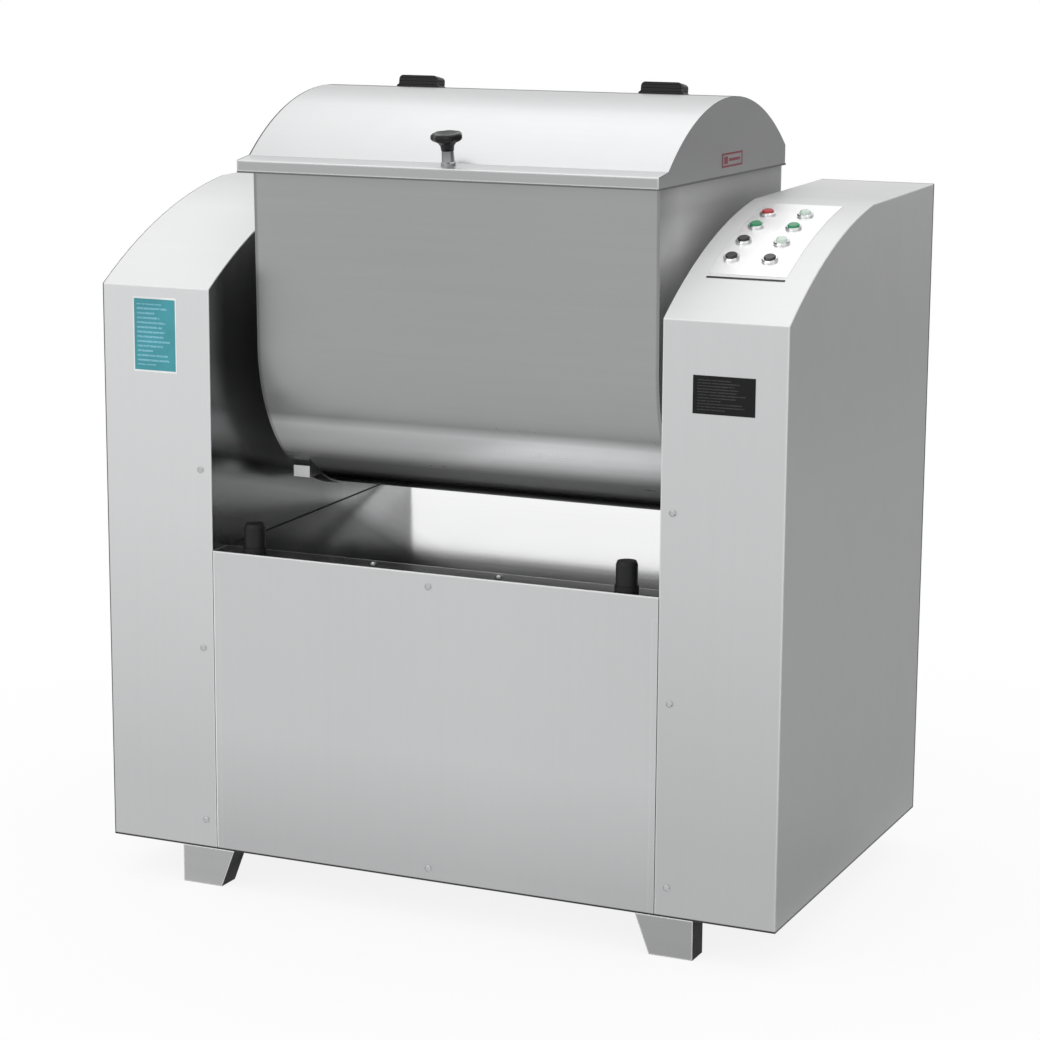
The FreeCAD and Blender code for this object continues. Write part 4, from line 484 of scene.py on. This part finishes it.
def sheet_material(name, base, roughness, grain, spread=0.08, bump=0.02, fold=0.0, ramps=(),
                   painted_fold_tone=0.95, metallic=1.0, edge_tint=1.0, painted_edge_shade=(), outline=False):
    """Bare steel sheet. fold rounds its folded edges and paints painted_fold_tone along them: a painted
    highlight where that tone is light, painted shade where it is dark. A ramp of painted light and shade
    is (direction, stops).

    metallic is a number, or (direction, stops) where the sheen changes along the sheet. The
    painted_edge_shade are ramps of painted shade that lie over the folds too, for edges in the shade.
    An outline paints a dark reflection on what is seen at a grazing angle, where a rolled sheet
    mirrors the room behind it.
    """
    material, tree, shader, place = new_material(name)
    look = group(tree, "sheet", [("Vector", place.outputs["Object"]), ("Grain", GRAIN[grain]),
                                 ("Colour", opaque(base)), ("Roughness", roughness),
                                 ("Spread", spread)])
    bump_node = node(tree, "ShaderNodeBump", [("Height", look.outputs["Height"]), ("Strength", bump),
                                              ("Distance", 0.0004)])
    base_colour = with_painted_shading(tree, place, look.outputs["Colour"], ramps)
    sheen = ramped(tree, place, *metallic) if isinstance(metallic, tuple) else metallic
    # Along a fold the colour turns to painted_fold_tone and, unless its metallic is a ramp, the sheet turns
    # less metallic: a painted highlight, or painted shade where the tone is dark
    if fold > 0:
        edge = group(tree, "fold", [("Radius", fold)])
        fill(tree, bump_node, [("Normal", edge.outputs["Normal"])])
        base_colour = mixed(tree, edge.outputs["Mask"], base_colour, (painted_fold_tone, painted_fold_tone, painted_fold_tone, 1))
        if not isinstance(metallic, tuple):
            sheen = remap(tree, edge.outputs["Mask"], metallic, 0.2 * metallic)
    # Painted shade along the edges, laid over the folds
    base_colour = with_painted_shading(tree, place, base_colour, painted_edge_shade)
    # The outline is a painted dark reflection, darker as the sheet is seen more edge-on
    if outline:
        weight = node(tree, "ShaderNodeLayerWeight", [("Blend", 0.5)])
        share = remap(tree, weight.outputs["Facing"], 1.0, OUTLINE_SHADE, *OUTLINE)
        base_colour = times(tree, base_colour, share)
        sheen = maths(tree, "MULTIPLY", share, sheen)
        fill(tree, shader, [("Specular IOR Level", maths(tree, "MULTIPLY", share, 0.5))])
    fill(tree, shader, [("Base Color", base_colour), ("Metallic", sheen), ("Anisotropic", 0.3),
                        ("Roughness", look.outputs["Roughness"]),
                        ("Normal", bump_node.outputs["Normal"]),
                        ("Specular Tint", (edge_tint, edge_tint, edge_tint, 1))])
    return material


def coat_material(name, base, roughness, scale=220.0, bump=0.1, metallic=0.0, coat=0.0, fold=0.0,
                  pitch=0.0, specular=0.5):
    """Paint, casting, rubber or plastic; pitch adds moulded ribs."""
    material, tree, shader, place = new_material(name)
    look = group(tree, "coat", [("Vector", place.outputs["Object"]), ("Colour", opaque(base)),
                                ("Roughness", roughness), ("Scale", scale)])
    bump_node = node(tree, "ShaderNodeBump", [("Height", look.outputs["Height"]), ("Strength", bump),
                                              ("Distance", 0.0005)])
    normal = bump_node.outputs["Normal"]
    if fold > 0:
        edge = group(tree, "fold", [("Radius", fold)])
        fill(tree, bump_node, [("Normal", edge.outputs["Normal"])])
    if pitch > 0:
        ribs = group(tree, "ribs", [("Vector", place.outputs["Object"]), ("Pitch", pitch)])
        ribbed = node(tree, "ShaderNodeBump", [("Height", ribs.outputs["Height"]), ("Strength", 0.8),
                                               ("Distance", 0.003), ("Normal", normal)])
        normal = ribbed.outputs["Normal"]
    fill(tree, shader, [("Base Color", look.outputs["Colour"]), ("Normal", normal),
                        ("Roughness", look.outputs["Roughness"]), ("Metallic", metallic),
                        ("Coat Weight", coat), ("Specular IOR Level", specular)])
    return material


def printed_material(name, ground, ink, border, rows, margin, edge, sheen=0.5):
    """A printed label, ruled over its whole box."""
    material, tree, shader, place = new_material(name)
    look = group(tree, "ruled", [("Vector", place.outputs["Generated"]), ("Ground", opaque(ground)),
                                 ("Ink", opaque(ink)), ("Border", opaque(border)),
                                 ("Rows", float(rows)), ("Margin", margin), ("Edge", edge)])
    coat = group(tree, "coat", [("Vector", place.outputs["Object"]), ("Colour", look.outputs["Colour"]),
                                ("Roughness", 0.35), ("Scale", 400.0)])
    fill(tree, shader, [("Base Color", coat.outputs["Colour"]), ("Coat Weight", 0.3 * sheen),
                        ("Roughness", coat.outputs["Roughness"]), ("Specular IOR Level", sheen)])
    return material


# Object helpers

def dress(names, material):
    """Gives frame nodes their material."""
    for name in names:
        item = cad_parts[name]
        item.data.materials.clear()
        item.data.materials.append(material)


def repaint(names, material, chosen):
    """Gives a second material to the faces of frame nodes that the test picks."""
    for name in names:
        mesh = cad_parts[name].data
        mesh.materials.append(material)
        for polygon in mesh.polygons:
            if chosen(polygon):
                polygon.material_index = len(mesh.materials) - 1


def placed(name, data):
    """A new object in the scene."""
    item = bpy.data.objects.new(name, data)
    bpy.context.scene.collection.objects.link(item)
    return item


def new_piece(name, shape, body, material, smooth=False):
    """Makes a piece from its (vertices, faces), to ride on a body of the frame."""
    vertices, faces = shape
    mesh = bpy.data.meshes.new(name)
    mesh.from_pydata([tuple(v) for v in vertices], [], faces)
    mesh.update()
    item = placed(name, mesh)
    mesh.materials.append(material)
    for polygon in mesh.polygons:
        polygon.use_smooth = smooth
    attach(item, body)
    return item


def box_parts(low, high, matrix=None):
    """Corners and faces of a box between two corners, turned and moved by a matrix."""
    corners = [Vector((x, y, z)) for x in (low[0], high[0]) for y in (low[1], high[1])
               for z in (low[2], high[2])]
    if matrix is not None:
        corners = [matrix @ corner for corner in corners]
    faces = [(0, 1, 3, 2), (4, 6, 7, 5), (0, 4, 5, 1), (2, 3, 7, 6), (0, 2, 6, 4), (1, 5, 7, 3)]
    return corners, faces


def joined(parts):
    """One list of vertices and faces from several."""
    vertices = []
    faces = []
    for corners, sides in parts:
        start = len(vertices)
        vertices += list(corners)
        faces += [tuple(start + index for index in side) for side in sides]
    return vertices, faces


def turned_parts(profile, segments, matrix, wobble):
    """A surface turned about Z from (radius, height) pairs; wobble scales the radius by angle."""
    vertices = []
    faces = []
    for radius, height in profile:
        for number in range(segments):
            angle = 2 * math.pi * number / segments
            reach = wobble(radius, angle)
            vertices.append(matrix @ Vector((reach * math.cos(angle), reach * math.sin(angle), height)))
    for ring in range(len(profile) - 1):
        for number in range(segments):
            after = (number + 1) % segments
            a = ring * segments
            b = a + segments
            faces.append((a + number, a + after, b + after, b + number))
    faces.append(tuple(reversed(range(segments))))
    last = (len(profile) - 1) * segments
    faces.append(tuple(range(last, last + segments)))
    return vertices, faces


def arc_place(degrees):
    """Where and how a piece lies on the columns' curved top, by its angle forward of upright."""
    angle = math.radians(degrees)
    spot = Vector((0, ARC_Y - ARC_RADIUS * math.sin(angle), ARC_Z + ARC_RADIUS * math.cos(angle)))
    return Matrix.Translation(spot) @ Matrix.Rotation(angle, 4, "X")


# Operators

class MIXER_OT_columns(bpy.types.Operator):
    """Finishes the columns, panel, deck and covers, with painted light and shade, and adds the seams of
    painted shade, the painted lit edge and the louvre hoods
    """
    bl_idname = "mixer.columns"
    bl_label = "Columns and covers"

    def execute(self, context):
        look = context.scene.mixer_finish
        self.casings(look)
        self.panel(look)
        self.inside(look)
        self.seams(look)
        cover = sheet_material("cover_steel", look.panel, look.satin, "upright", spread=0.12)
        dress([name for name, _, _ in COVERS], cover)
        for name, middles, top in COVERS:
            parts = [self.hood(middle, top - FIRST_LOUVRE - number * LOUVRE_PITCH)
                     for middle in middles for number in range(LOUVRE_COUNT)]
            new_piece(f"{name}_hoods", joined(parts), "machine", cover)
        return {"FINISHED"}

    def casings(self, look):
        """Fronts, sides and curved tops of the columns, with painted light and shade."""
        casings = ["left_column_casing", "right_column_casing"]
        # Painted shade: the fronts darker towards the floor and the left column lighter than the right,
        # with painted shade along the bottom and left edges
        dress(casings, sheet_material(
            "casing_steel", look.casing, look.satin, "upright", spread=0.03, fold=look.fold,
            ramps=[(UPWARD, [(0.2, 0.72), (0.7, 0.87), (1.08, 0.905)]),
                   (SIDEWAYS, [(-0.43, 1.14), (0.43, 1.0)])],
            metallic=0.8, painted_edge_shade=[BOTTOM_EDGE, LEFT_EDGE]))
        # Painted shade on the columns' sides: lightest at mid height, with painted shade along the bottom
        # and back edges
        side = sheet_material(
            "side_steel", look.casing, look.satin, "upright", spread=0.03, fold=look.fold,
            ramps=[(UPWARD, [(0.2, 0.88), (0.8, 0.92), (1.15, 0.85)])],
            metallic=0.8, painted_edge_shade=[BOTTOM_EDGE, BACK_EDGE])
        repaint(casings, side, lambda face: abs(face.normal.x) > 0.9)
        # Painted light and shade: the curved tops lighter than the fronts and darker towards the back, with
        # painted shade along the back and left edges
        arc = sheet_material("arc_steel", look.arc, 0.45, "across", spread=0.03, fold=look.fold,
                             ramps=[(BACKWARD, [(-0.15, 1.0), (0.1, 0.75)])], metallic=0.25,
                             painted_edge_shade=[BACK_EDGE, LEFT_EDGE])
        repaint(casings, arc, lambda face: face.normal.z > 0.2)

    def panel(self, look):
        """Front panel and its flange."""
        # Painted shade: the front panel darker towards the floor and towards the right, with painted shade
        # along its bottom edge
        dress(["front_panel"], sheet_material(
            "panel_steel", look.panel, look.satin, "upright", spread=0.03, fold=look.fold,
            ramps=[(UPWARD, [(0.1, 0.79), (0.3, 0.96), (0.7, 0.98)]),
                   (SIDEWAYS, [(0.1, 1.0), (0.43, 0.965)])],
            metallic=0.8, painted_edge_shade=[BOTTOM_EDGE]))
        # Painted shade: the flange under the trough, darkened to about a third of the deck's grey
        flange = sheet_material("flange_steel", look.deck, 0.2, "across", fold=look.fold,
                                ramps=[(BACKWARD, [(-0.4, 0.35), (-0.34, 0.3)])])
        repaint(["front_panel"], flange, lambda face: face.normal.z > 0.7)

    def inside(self, look):
        """Walls and deck round the trough, with painted reflections: lighter and darker where they mirror
        it.
        """
        # Painted reflection: the walls lighter and darker by height, and brighter towards the back
        wall = sheet_material(
            "wall_steel", look.inner_wall, 0.24, "upright",
            ramps=[PAINTED_WALL_REFLECTION, (BACKWARD, [(0.02, 1.0), (0.2, 2.2)])])
        dress(["left_inner_wall", "right_inner_wall"], wall)
        # Painted reflection: the deck darker at its front left, where it mirrors the dark wall
        deck = sheet_material("deck_steel", look.deck, 0.14, "across", spread=0.05, bump=0.05,
                              ramps=[PAINTED_DECK_REFLECTION], metallic=0.9)
        dress(["deck"], deck)

    def seams(self, look):
        """Dark lines of painted shade beside the front panel and between deck and walls, and the panel's
        lit edge, a painted highlight.
        """
        # Painted shade: thin dark strips where the panel meets the columns and where the deck meets the
        # walls
        dark = coat_material("seam_shadow", look.seam, 0.8, 300.0, 0.02)
        line_y = FRONT_Y - LINE_THICKNESS
        parts = []
        for side in (-1, 1):
            low, high = sorted((side * SEAM_X, side * (SEAM_X - PANEL_SEAM_WIDTH)))
            parts.append(box_parts((low, line_y, PANEL_LOW), (high, FRONT_Y, PANEL_HIGH)))
            strip = [Vector((side * (SEAM_X - inset), y, z))
                     for inset in DECK_SEAM_INSETS for y, z in DECK_LINE]
            parts.append((strip, [(0, 1, 3, 2) if side < 0 else (0, 2, 3, 1)]))
        new_piece("panel_seams", joined(parts), "machine", dark)
        # Painted highlight: a bright strip along the front panel's left edge
        shine = coat_material("edge_shine", look.lit_edge, 0.4, 300.0, 0.02)
        left = PANEL_SEAM_WIDTH - SEAM_X
        edge = box_parts((left, line_y, LIT_EDGE_LOW), (left + LIT_EDGE_WIDTH, FRONT_Y, PANEL_HIGH))
        new_piece("panel_edge", edge, "machine", shine)

    def hood(self, middle, top):
        """A pressed hood over one louvre slot."""
        profile = [(0.0, 0.003), (HOOD_OUT * 0.6, 0.001), (HOOD_OUT, -HOOD_DOWN * 0.5),
                   (HOOD_OUT, -HOOD_DOWN)]
        vertices = [Vector((x, BACK_Y + depth, top + height))
                    for x in (middle - HOOD_HALF_WIDTH, middle + HOOD_HALF_WIDTH)
                    for depth, height in profile]
        faces = [(n, n + 1, n + 5, n + 4) for n in range(3)]
        return vertices, faces


class MIXER_OT_small_parts(bpy.types.Operator):
    """Finishes the feet, screws, bumpers and cable bush"""
    bl_idname = "mixer.small_parts"
    bl_label = "Feet and small parts"

    def execute(self, context):
        look = context.scene.mixer_finish
        # Painted light: the left feet lighter than the right ones
        foot = sheet_material("foot_steel", look.foot, 0.4, "across", spread=0.08, fold=look.fold,
                              ramps=[(SIDEWAYS, [(-0.5, 1.1), (0.5, 0.86)])])
        feet = [f"{row}_{side}_foot" for row in ("front", "rear") for side in ("left", "right")]
        dress(feet, foot)
        # The feet's faces that do not face front or back are near black
        black = coat_material("foot_sides_near_black", look.rubber, 0.6, 260.0, 0.2, specular=0.15)
        repaint(feet, black, lambda face: abs(face.normal.y) < 0.5)
        screw = sheet_material("screw_steel", look.turned, 0.25, "round")
        dress(["cover_screws"], screw)
        rubber = coat_material("black_rubber", look.rubber, 0.5, 320.0, 0.2, specular=0.25)
        dress(["bumpers", "cable_grommet"], rubber)
        return {"FINISHED"}


class MIXER_OT_trough(bpy.types.Operator):
    """Finishes the trough, its trunnions, seals, hinges and stop lug"""
    bl_idname = "mixer.trough"
    bl_label = "Trough"

    def execute(self, context):
        look = context.scene.mixer_finish
        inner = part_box("right_trough_end")[0].x
        # Painted reflection: the rolled trough lighter and darker in bands by height
        shell = sheet_material(
            "trough_steel", look.trough, 0.3, "across", spread=0.06, edge_tint=0.1,
            ramps=[PAINTED_TROUGH_REFLECTION], metallic=PAINTED_TROUGH_SHEEN,
            # Painted shade: thin darker lines along the trough's two ends
            painted_edge_shade=[(SIDEWAYS, [(-inner, 0.72), (0.0005 - inner, 1.0), (inner - 0.0005, 1.0),
                               (inner, 0.72)])])
        dress(["trough_shell"], shell)
        rim = sheet_material("rim_steel", look.rim, 0.35, "across", spread=0.06)
        dress(["trough_rim"], rim)
        # Painted light and shade: the trough's ends darker towards the top and towards the front
        end = sheet_material("trough_end_steel", look.trough_end, 0.55, "across", spread=0.06,
                             ramps=[(UPWARD, [(1.19, 1.0), (1.26, 0.56)]),
                                    (BACKWARD, [(-0.3, 0.66), (-0.22, 1.0)])], metallic=0.35)
        ends = ["left_trough_end", "right_trough_end"]
        dress(ends, end)
        repaint(ends, shell, lambda face: abs(face.normal.x) < 0.5)
        turned = sheet_material("turned_steel", look.turned, 0.28, "round")
        dress(["left_trunnion", "right_trunnion", "trunnion_bolts", "hinge_brackets"], turned)
        dress(["stop_lug"], sheet_material("lug_steel", look.trough_end, 0.4, "across", metallic=0.3))
        # Painted shade: the stop lug's faces that do not face front get the darker grey of the lid's ends
        strap = sheet_material("strap_steel", look.lid_end, 0.35, "across")
        repaint(["stop_lug"], strap, lambda face: face.normal.y > -0.9)
        dress(["shaft_seals"], coat_material("seal_plastic", look.seal, 0.4, 300.0, 0.05))
        return {"FINISHED"}


class MIXER_OT_lid(bpy.types.Operator):
    """Finishes the lid, builds the lobed knob and finishes the pads"""
    bl_idname = "mixer.lid"
    bl_label = "Lid and knob"

    def execute(self, context):
        look = context.scene.mixer_finish
        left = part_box("lid_shell")[0].x
        # Painted shading and a painted dark outline on the lid
        lid = sheet_material("lid_steel", look.lid, look.satin, "across", spread=0.05, fold=look.fold,
                             ramps=[PAINTED_LID_SHADING], outline=True,
                             # Painted shade: a dark line along the lid's left edge
                             painted_edge_shade=[(SIDEWAYS, [(left + 0.0017, 0.05), (left + 0.0032, 1.0)])])
        dress(["lid_shell", "hinge_arms"], lid)
        # Painted shade: the lid's end faces darker than its top, with dark painted lines along their folds
        end = sheet_material("lid_end_steel", look.lid_end, look.satin, "across", spread=0.05,
                             fold=look.fold / 2, painted_fold_tone=0.06)
        repaint(["lid_shell"], end, lambda face: abs(face.normal.x) > 0.9)
        # Painted shade: the lip darker than the rest of the lid
        lip = sheet_material("lip_steel", look.lip, look.satin, "across", spread=0.05, fold=look.fold)
        repaint(["lid_shell"], lip, lambda face: face.normal.y < -0.9 and face.center.y < LEDGE_Y)
        # Painted shade: the stem darker at its top, under the knob's head
        dress(["knob_stem"], sheet_material("stem_steel", look.trough_end, 0.2, "round",
                                            ramps=[(UPWARD, [(1.33, 0.42), (1.36, 0.17)])]))
        pad = coat_material("pad_rubber", look.rubber, 0.35, 260.0, 0.15, pitch=0.0062, specular=0.2)
        dress(["rest_pads"], pad)
        self.knob(context.scene.mixer_knob, look)
        return {"FINISHED"}

    def knob(self, size, look):
        """A moulded knob with lobes, in place of the frame's round one."""
        matrix = Matrix.Translation(KNOB_PLACE) @ Matrix.Rotation(LEDGE_SLOPE, 4, "X")
        profile = [(size.neck * share, size.stem + size.height * rise) for share, rise in KNOB_NECK]
        profile += [(size.radius * share, size.stem + size.height * rise) for share, rise in KNOB_HEAD]

        def wobble(radius, angle):
            """Lobes on the outer part of the head only."""
            if radius < size.radius * LOBES_FROM:
                return radius
            return radius * (1 - LOBE_DEPTH + LOBE_DEPTH * math.cos(size.lobes * angle))

        shape = turned_parts(profile, KNOB_SEGMENTS, matrix, wobble)
        material = coat_material("knob_plastic", look.plastic, 0.25, 500.0, 0.04, specular=0.22)
        knob = new_piece("moulded_knob", shape, "lid", material, True)
        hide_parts("lid_knob")


class MIXER_OT_mixing(bpy.types.Operator):
    """Finishes the blade and its shafts"""
    bl_idname = "mixer.mixing"
    bl_label = "Blade and shafts"

    def execute(self, context):
        look = context.scene.mixer_finish
        dress(["mixing_blade"], sheet_material("blade_steel", look.polished, 0.2, "round", fold=look.fold))
        dress(["drive_shaft", "idle_shaft"], sheet_material("shaft_steel", look.turned, 0.2, "round"))
        return {"FINISHED"}


class MIXER_OT_drive(bpy.types.Operator):
    """Finishes the frame, motors, gears, belts and electrical box"""
    bl_idname = "mixer.drive"
    bl_label = "Drive"

    def execute(self, context):
        look = context.scene.mixer_finish
        paint = coat_material("frame_enamel", look.frame_paint, 0.45, 120.0, 0.15, fold=look.fold)
        dress(["base_frame", "left_bearing_stand", "right_bearing_stand", "motor_base"], paint)
        casting = coat_material("cast_enamel", look.casting, 0.5, 240.0, 0.35, fold=look.fold)
        dress(["left_trunnion_bearing", "right_trunnion_bearing", "gear_reducer"], casting)
        iron = coat_material("pulley_iron", look.turned, 0.42, 200.0, 0.2, metallic=1.0)
        dress(["reducer_pulley", "motor_pulley"], iron)
        enamel = coat_material("motor_enamel", look.motor_paint, 0.35, 160.0, 0.12, coat=0.3)
        dress(["main_motor", "tilt_gearmotor"], enamel)
        gear = sheet_material("gear_steel", look.turned, 0.3, "round")
        dress(["tilt_gear", "tilt_pinion", "bearing_bolts"], gear)
        dress(["drive_belts"], coat_material("belt_rubber", look.rubber, 0.7, 300.0, 0.3))
        cabinet = coat_material("cabinet_enamel", look.cabinet, 0.4, 420.0, 0.12)
        dress(["electrical_box", "electrical_door"], cabinet)
        return {"FINISHED"}


class MIXER_OT_controls(bpy.types.Operator):
    """Finishes the control plate, buttons and lamps, and adds the line under the plate"""
    bl_idname = "mixer.controls"
    bl_label = "Controls"

    def execute(self, context):
        look = context.scene.mixer_finish
        plate = sheet_material("plate_metal", look.overlay, 0.4, "across", spread=0.04)
        dress(["control_panel"], plate)
        dress(["button_bezels"], sheet_material("bezel_steel", look.polished, 0.14, "round"))
        black = coat_material("button_black", look.plastic, 0.32, 400.0, 0.05, coat=0.3)
        dress(["trough_down_button", "trough_up_button", "mix_reverse_button"], black)
        green = coat_material("button_green", look.green, 0.3, 400.0, 0.05, coat=0.4)
        dress(["mix_start_button", "jog_button"], green)
        red = coat_material("button_red", look.red, 0.3, 400.0, 0.05, coat=0.4)
        dress(["mix_stop_button"], red)
        lens = coat_material("lamp_lens", look.lamp, 0.15, 90.0, 0.1, coat=0.6)
        dress(["pilot_lamps"], lens)
        ink = coat_material("line_ink", look.plastic, 0.5, 400.0, 0.02)
        left, right = PANEL_LINE_ENDS
        line = box_parts((left, -PANEL_LINE_HALF, 0.0), (right, PANEL_LINE_HALF, PANEL_LINE_HEIGHT),
                         arc_place(PANEL_LINE_ANGLE))
        new_piece("panel_line", line, "machine", ink)
        return {"FINISHED"}


class MIXER_OT_labels(bpy.types.Operator):
    """Adds the tall label, the dark plate and the small sticker, all without letters"""
    bl_idname = "mixer.labels"
    bl_label = "Label fields"

    def execute(self, context):
        look = context.scene.mixer_labels
        tall = printed_material("tall_label", look.paper, look.ink, look.border, look.rows, 0.09, 0.025)
        self.on_front("tall_label", TALL_LABEL, look.thickness, tall)
        dark = printed_material("dark_plate", look.plate, look.plate_ink, look.plate,
                                look.plate_rows, 0.07, 0.02, 0.12)
        self.on_front("dark_plate", DARK_PLATE, 2 * look.thickness, dark)
        self.sticker(look)
        return {"FINISHED"}

    def on_front(self, name, corners, thick, material):
        """A label on a column's front."""
        (left, low), (right, high) = corners
        shape = box_parts((left, FRONT_Y - thick, low), (right, FRONT_Y, high))
        new_piece(name, shape, "machine", material)

    def sticker(self, look):
        """Pale ground with a red frame, a red block and a red bar, on the lid's right end."""
        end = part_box("lid_shell")[1].x
        top = end + look.thickness
        ground = coat_material("sticker_ground", look.sticker, 0.4, 300.0, 0.03)
        shape = self.on_end(end, top, STICKER)
        new_piece("small_sticker", shape, "lid", ground)
        red = coat_material("sticker_red", look.warning, 0.4, 300.0, 0.03)
        marks = joined([self.on_end(top, end + 1.5 * look.thickness, mark) for mark in STICKER_MARKS])
        new_piece("sticker_marks", marks, "lid", red)

    def on_end(self, inner, outer, field):
        """A field of the sticker, between two distances from the machine's middle."""
        front, back, low, high = field
        return box_parts((inner, front, low), (outer, back, high))


class MIXER_OT_studio(bpy.types.Operator):
    """Adds the floor, sky, lamps, grey cards and camera"""
    bl_idname = "mixer.studio"
    bl_label = "Studio"

    def execute(self, context):
        look = context.scene.mixer_studio
        context.scene.view_settings.view_transform = "Standard"
        self.floor(look)
        self.sky(context, look)
        self.lamp("key_lamp", *KEY_LAMP, look.key)
        self.lamp("top_lamp", *TOP_LAMP, look.top)
        self.card("right_card", *RIGHT_CARD, look.card)
        self.card("right_floor_card", *FLOOR_CARD, look.card)
        self.camera(context, look)
        return {"FINISHED"}

    def seen(self, tree):
        """1 for rays that show the background: straight, mirrored and transmitted ones."""
        path = node(tree, "ShaderNodeLightPath")
        shown = maths(tree, "MAXIMUM", path.outputs["Is Camera Ray"], path.outputs["Is Glossy Ray"])
        return maths(tree, "MAXIMUM", shown, path.outputs["Is Transmission Ray"])

    def rectangle(self, name, size, base):
        """A flat dull rectangle about the origin, and the parts of its material."""
        half_x, half_y = size[0] / 2, size[1] / 2
        mesh = bpy.data.meshes.new(name)
        mesh.from_pydata([(-half_x, -half_y, 0), (half_x, -half_y, 0), (half_x, half_y, 0),
                          (-half_x, half_y, 0)], [], [(0, 1, 2, 3)])
        item = placed(name, mesh)
        material, tree, shader, place = new_material(name)
        fill(tree, shader, [("Base Color", opaque(base)), ("Roughness", 0.9)])
        mesh.materials.append(material)
        return item, tree, shader, place

    def floor(self, look):
        """A floor that shows white away from the machine, so that it meets the sky unseen."""
        item, tree, shader, place = self.rectangle("floor", FLOOR_SIZE, look.floor)
        away = group(tree, "fade", [("Vector", place.outputs["Object"])])
        share = remap(tree, away.outputs["Away"], 0.87, 1.0)
        share = maths(tree, "MULTIPLY", share, self.seen(tree))
        glow = node(tree, "ShaderNodeEmission", [("Color", (1, 1, 1, 1)), ("Strength", 1.0)])
        both = node(tree, "ShaderNodeMixShader", [(0, share), (1, shader.outputs[0]),
                                                  (2, glow.outputs[0])])
        fill(tree, tree.nodes["Material Output"], [("Surface", both.outputs[0])])

    def sky(self, context, look):
        """White where it is seen or mirrored, and dimmer as a source of light."""
        world = bpy.data.worlds.new("studio")
        context.scene.world = world
        world.use_nodes = True
        tree = world.node_tree
        dull = tree.nodes["Background"]
        fill(tree, dull, [("Color", (1, 1, 1, 1)), ("Strength", look.ambient)])
        white = node(tree, "ShaderNodeBackground", [("Color", (1, 1, 1, 1)), ("Strength", 1.0)])
        both = node(tree, "ShaderNodeMixShader", [(0, self.seen(tree)), (1, dull.outputs[0]),
                                                  (2, white.outputs[0])])
        fill(tree, tree.nodes["World Output"], [("Surface", both.outputs[0])])

    def aimed(self, item, place, target):
        """Puts an item at a place, with its -Z axis towards the target."""
        item.location = Vector(place)
        item.rotation_mode = "QUATERNION"
        item.rotation_quaternion = (Vector(target) - Vector(place)).to_track_quat("-Z", "Y")

    def lamp(self, name, place, target, size, power):
        """A soft rectangular lamp, its power in watts."""
        data = bpy.data.lights.new(name, "AREA")
        data.shape = "RECTANGLE"
        data.size, data.size_y = size
        data.energy = power
        item = placed(name, data)
        self.aimed(item, place, target)

    def card(self, name, place, target, size, base):
        """A grey card outside the picture, which the satin sides mirror."""
        item = self.rectangle(name, size, base)[0]
        self.aimed(item, place, target)
        item.visible_camera = False
        item.visible_diffuse = False
        item.visible_shadow = False

    def camera(self, context, look):
        """Stands where the photographer stood."""
        yaw, pitch, roll = (math.radians(angle) for angle in CAMERA_ANGLES)
        ahead = Vector((-math.sin(yaw) * math.cos(pitch), math.cos(yaw) * math.cos(pitch),
                        -math.sin(pitch)))
        right = Vector((math.cos(yaw), math.sin(yaw), 0))
        up = right.cross(ahead)
        rolled_right = math.cos(roll) * right + math.sin(roll) * up
        rolled_up = -math.sin(roll) * right + math.cos(roll) * up
        data = bpy.data.cameras.new("camera")
        data.lens = look.lens
        data.sensor_width = 36
        data.clip_end = 100
        item = placed("camera", data)
        axes = Matrix((rolled_right, rolled_up, -ahead)).transposed().to_4x4()
        item.matrix_world = Matrix.Translation(CAMERA_PLACE) @ axes
        context.scene.camera = item


class MIXER_PT_panel(bpy.types.Panel):
    """Lists the steps and their settings"""
    bl_label = "Dough mixer"
    bl_idname = "MIXER_PT_panel"
    bl_space_type = "VIEW_3D"
    bl_region_type = "UI"
    bl_category = "Mixer"

    def draw(self, context):
        for step in STEPS:
            self.layout.operator(step.bl_idname)
        for settings in SETTINGS:
            values = getattr(context.scene, settings)
            for name in values.__annotations__:
                self.layout.prop(values, name)


STEPS = (
    MIXER_OT_columns,
    MIXER_OT_small_parts,
    MIXER_OT_trough,
    MIXER_OT_lid,
    MIXER_OT_mixing,
    MIXER_OT_drive,
    MIXER_OT_controls,
    MIXER_OT_labels,
    MIXER_OT_studio,
)
SETTINGS = {
    "mixer_finish": MixerFinish,
    "mixer_labels": MixerLabels,
    "mixer_knob": MixerKnob,
    "mixer_studio": MixerStudio,
}


def register():
    for settings in SETTINGS.values():
        bpy.utils.register_class(settings)
    for step in STEPS:
        bpy.utils.register_class(step)
    bpy.utils.register_class(MIXER_PT_panel)
    for name, settings in SETTINGS.items():
        setattr(bpy.types.Scene, name, PointerProperty(type=settings))


def unregister():
    for name in SETTINGS:
        delattr(bpy.types.Scene, name)
    bpy.utils.unregister_class(MIXER_PT_panel)
    for step in reversed(STEPS):
        bpy.utils.unregister_class(step)
    for settings in reversed(list(SETTINGS.values())):
        bpy.utils.unregister_class(settings)


def main():
    register()
    bpy.ops.mixer.columns()
    bpy.ops.mixer.small_parts()
    bpy.ops.mixer.trough()
    bpy.ops.mixer.lid()
    bpy.ops.mixer.mixing()
    bpy.ops.mixer.drive()
    bpy.ops.mixer.controls()
    bpy.ops.mixer.labels()
    bpy.ops.mixer.studio()


if __name__ == "__main__":
    main()
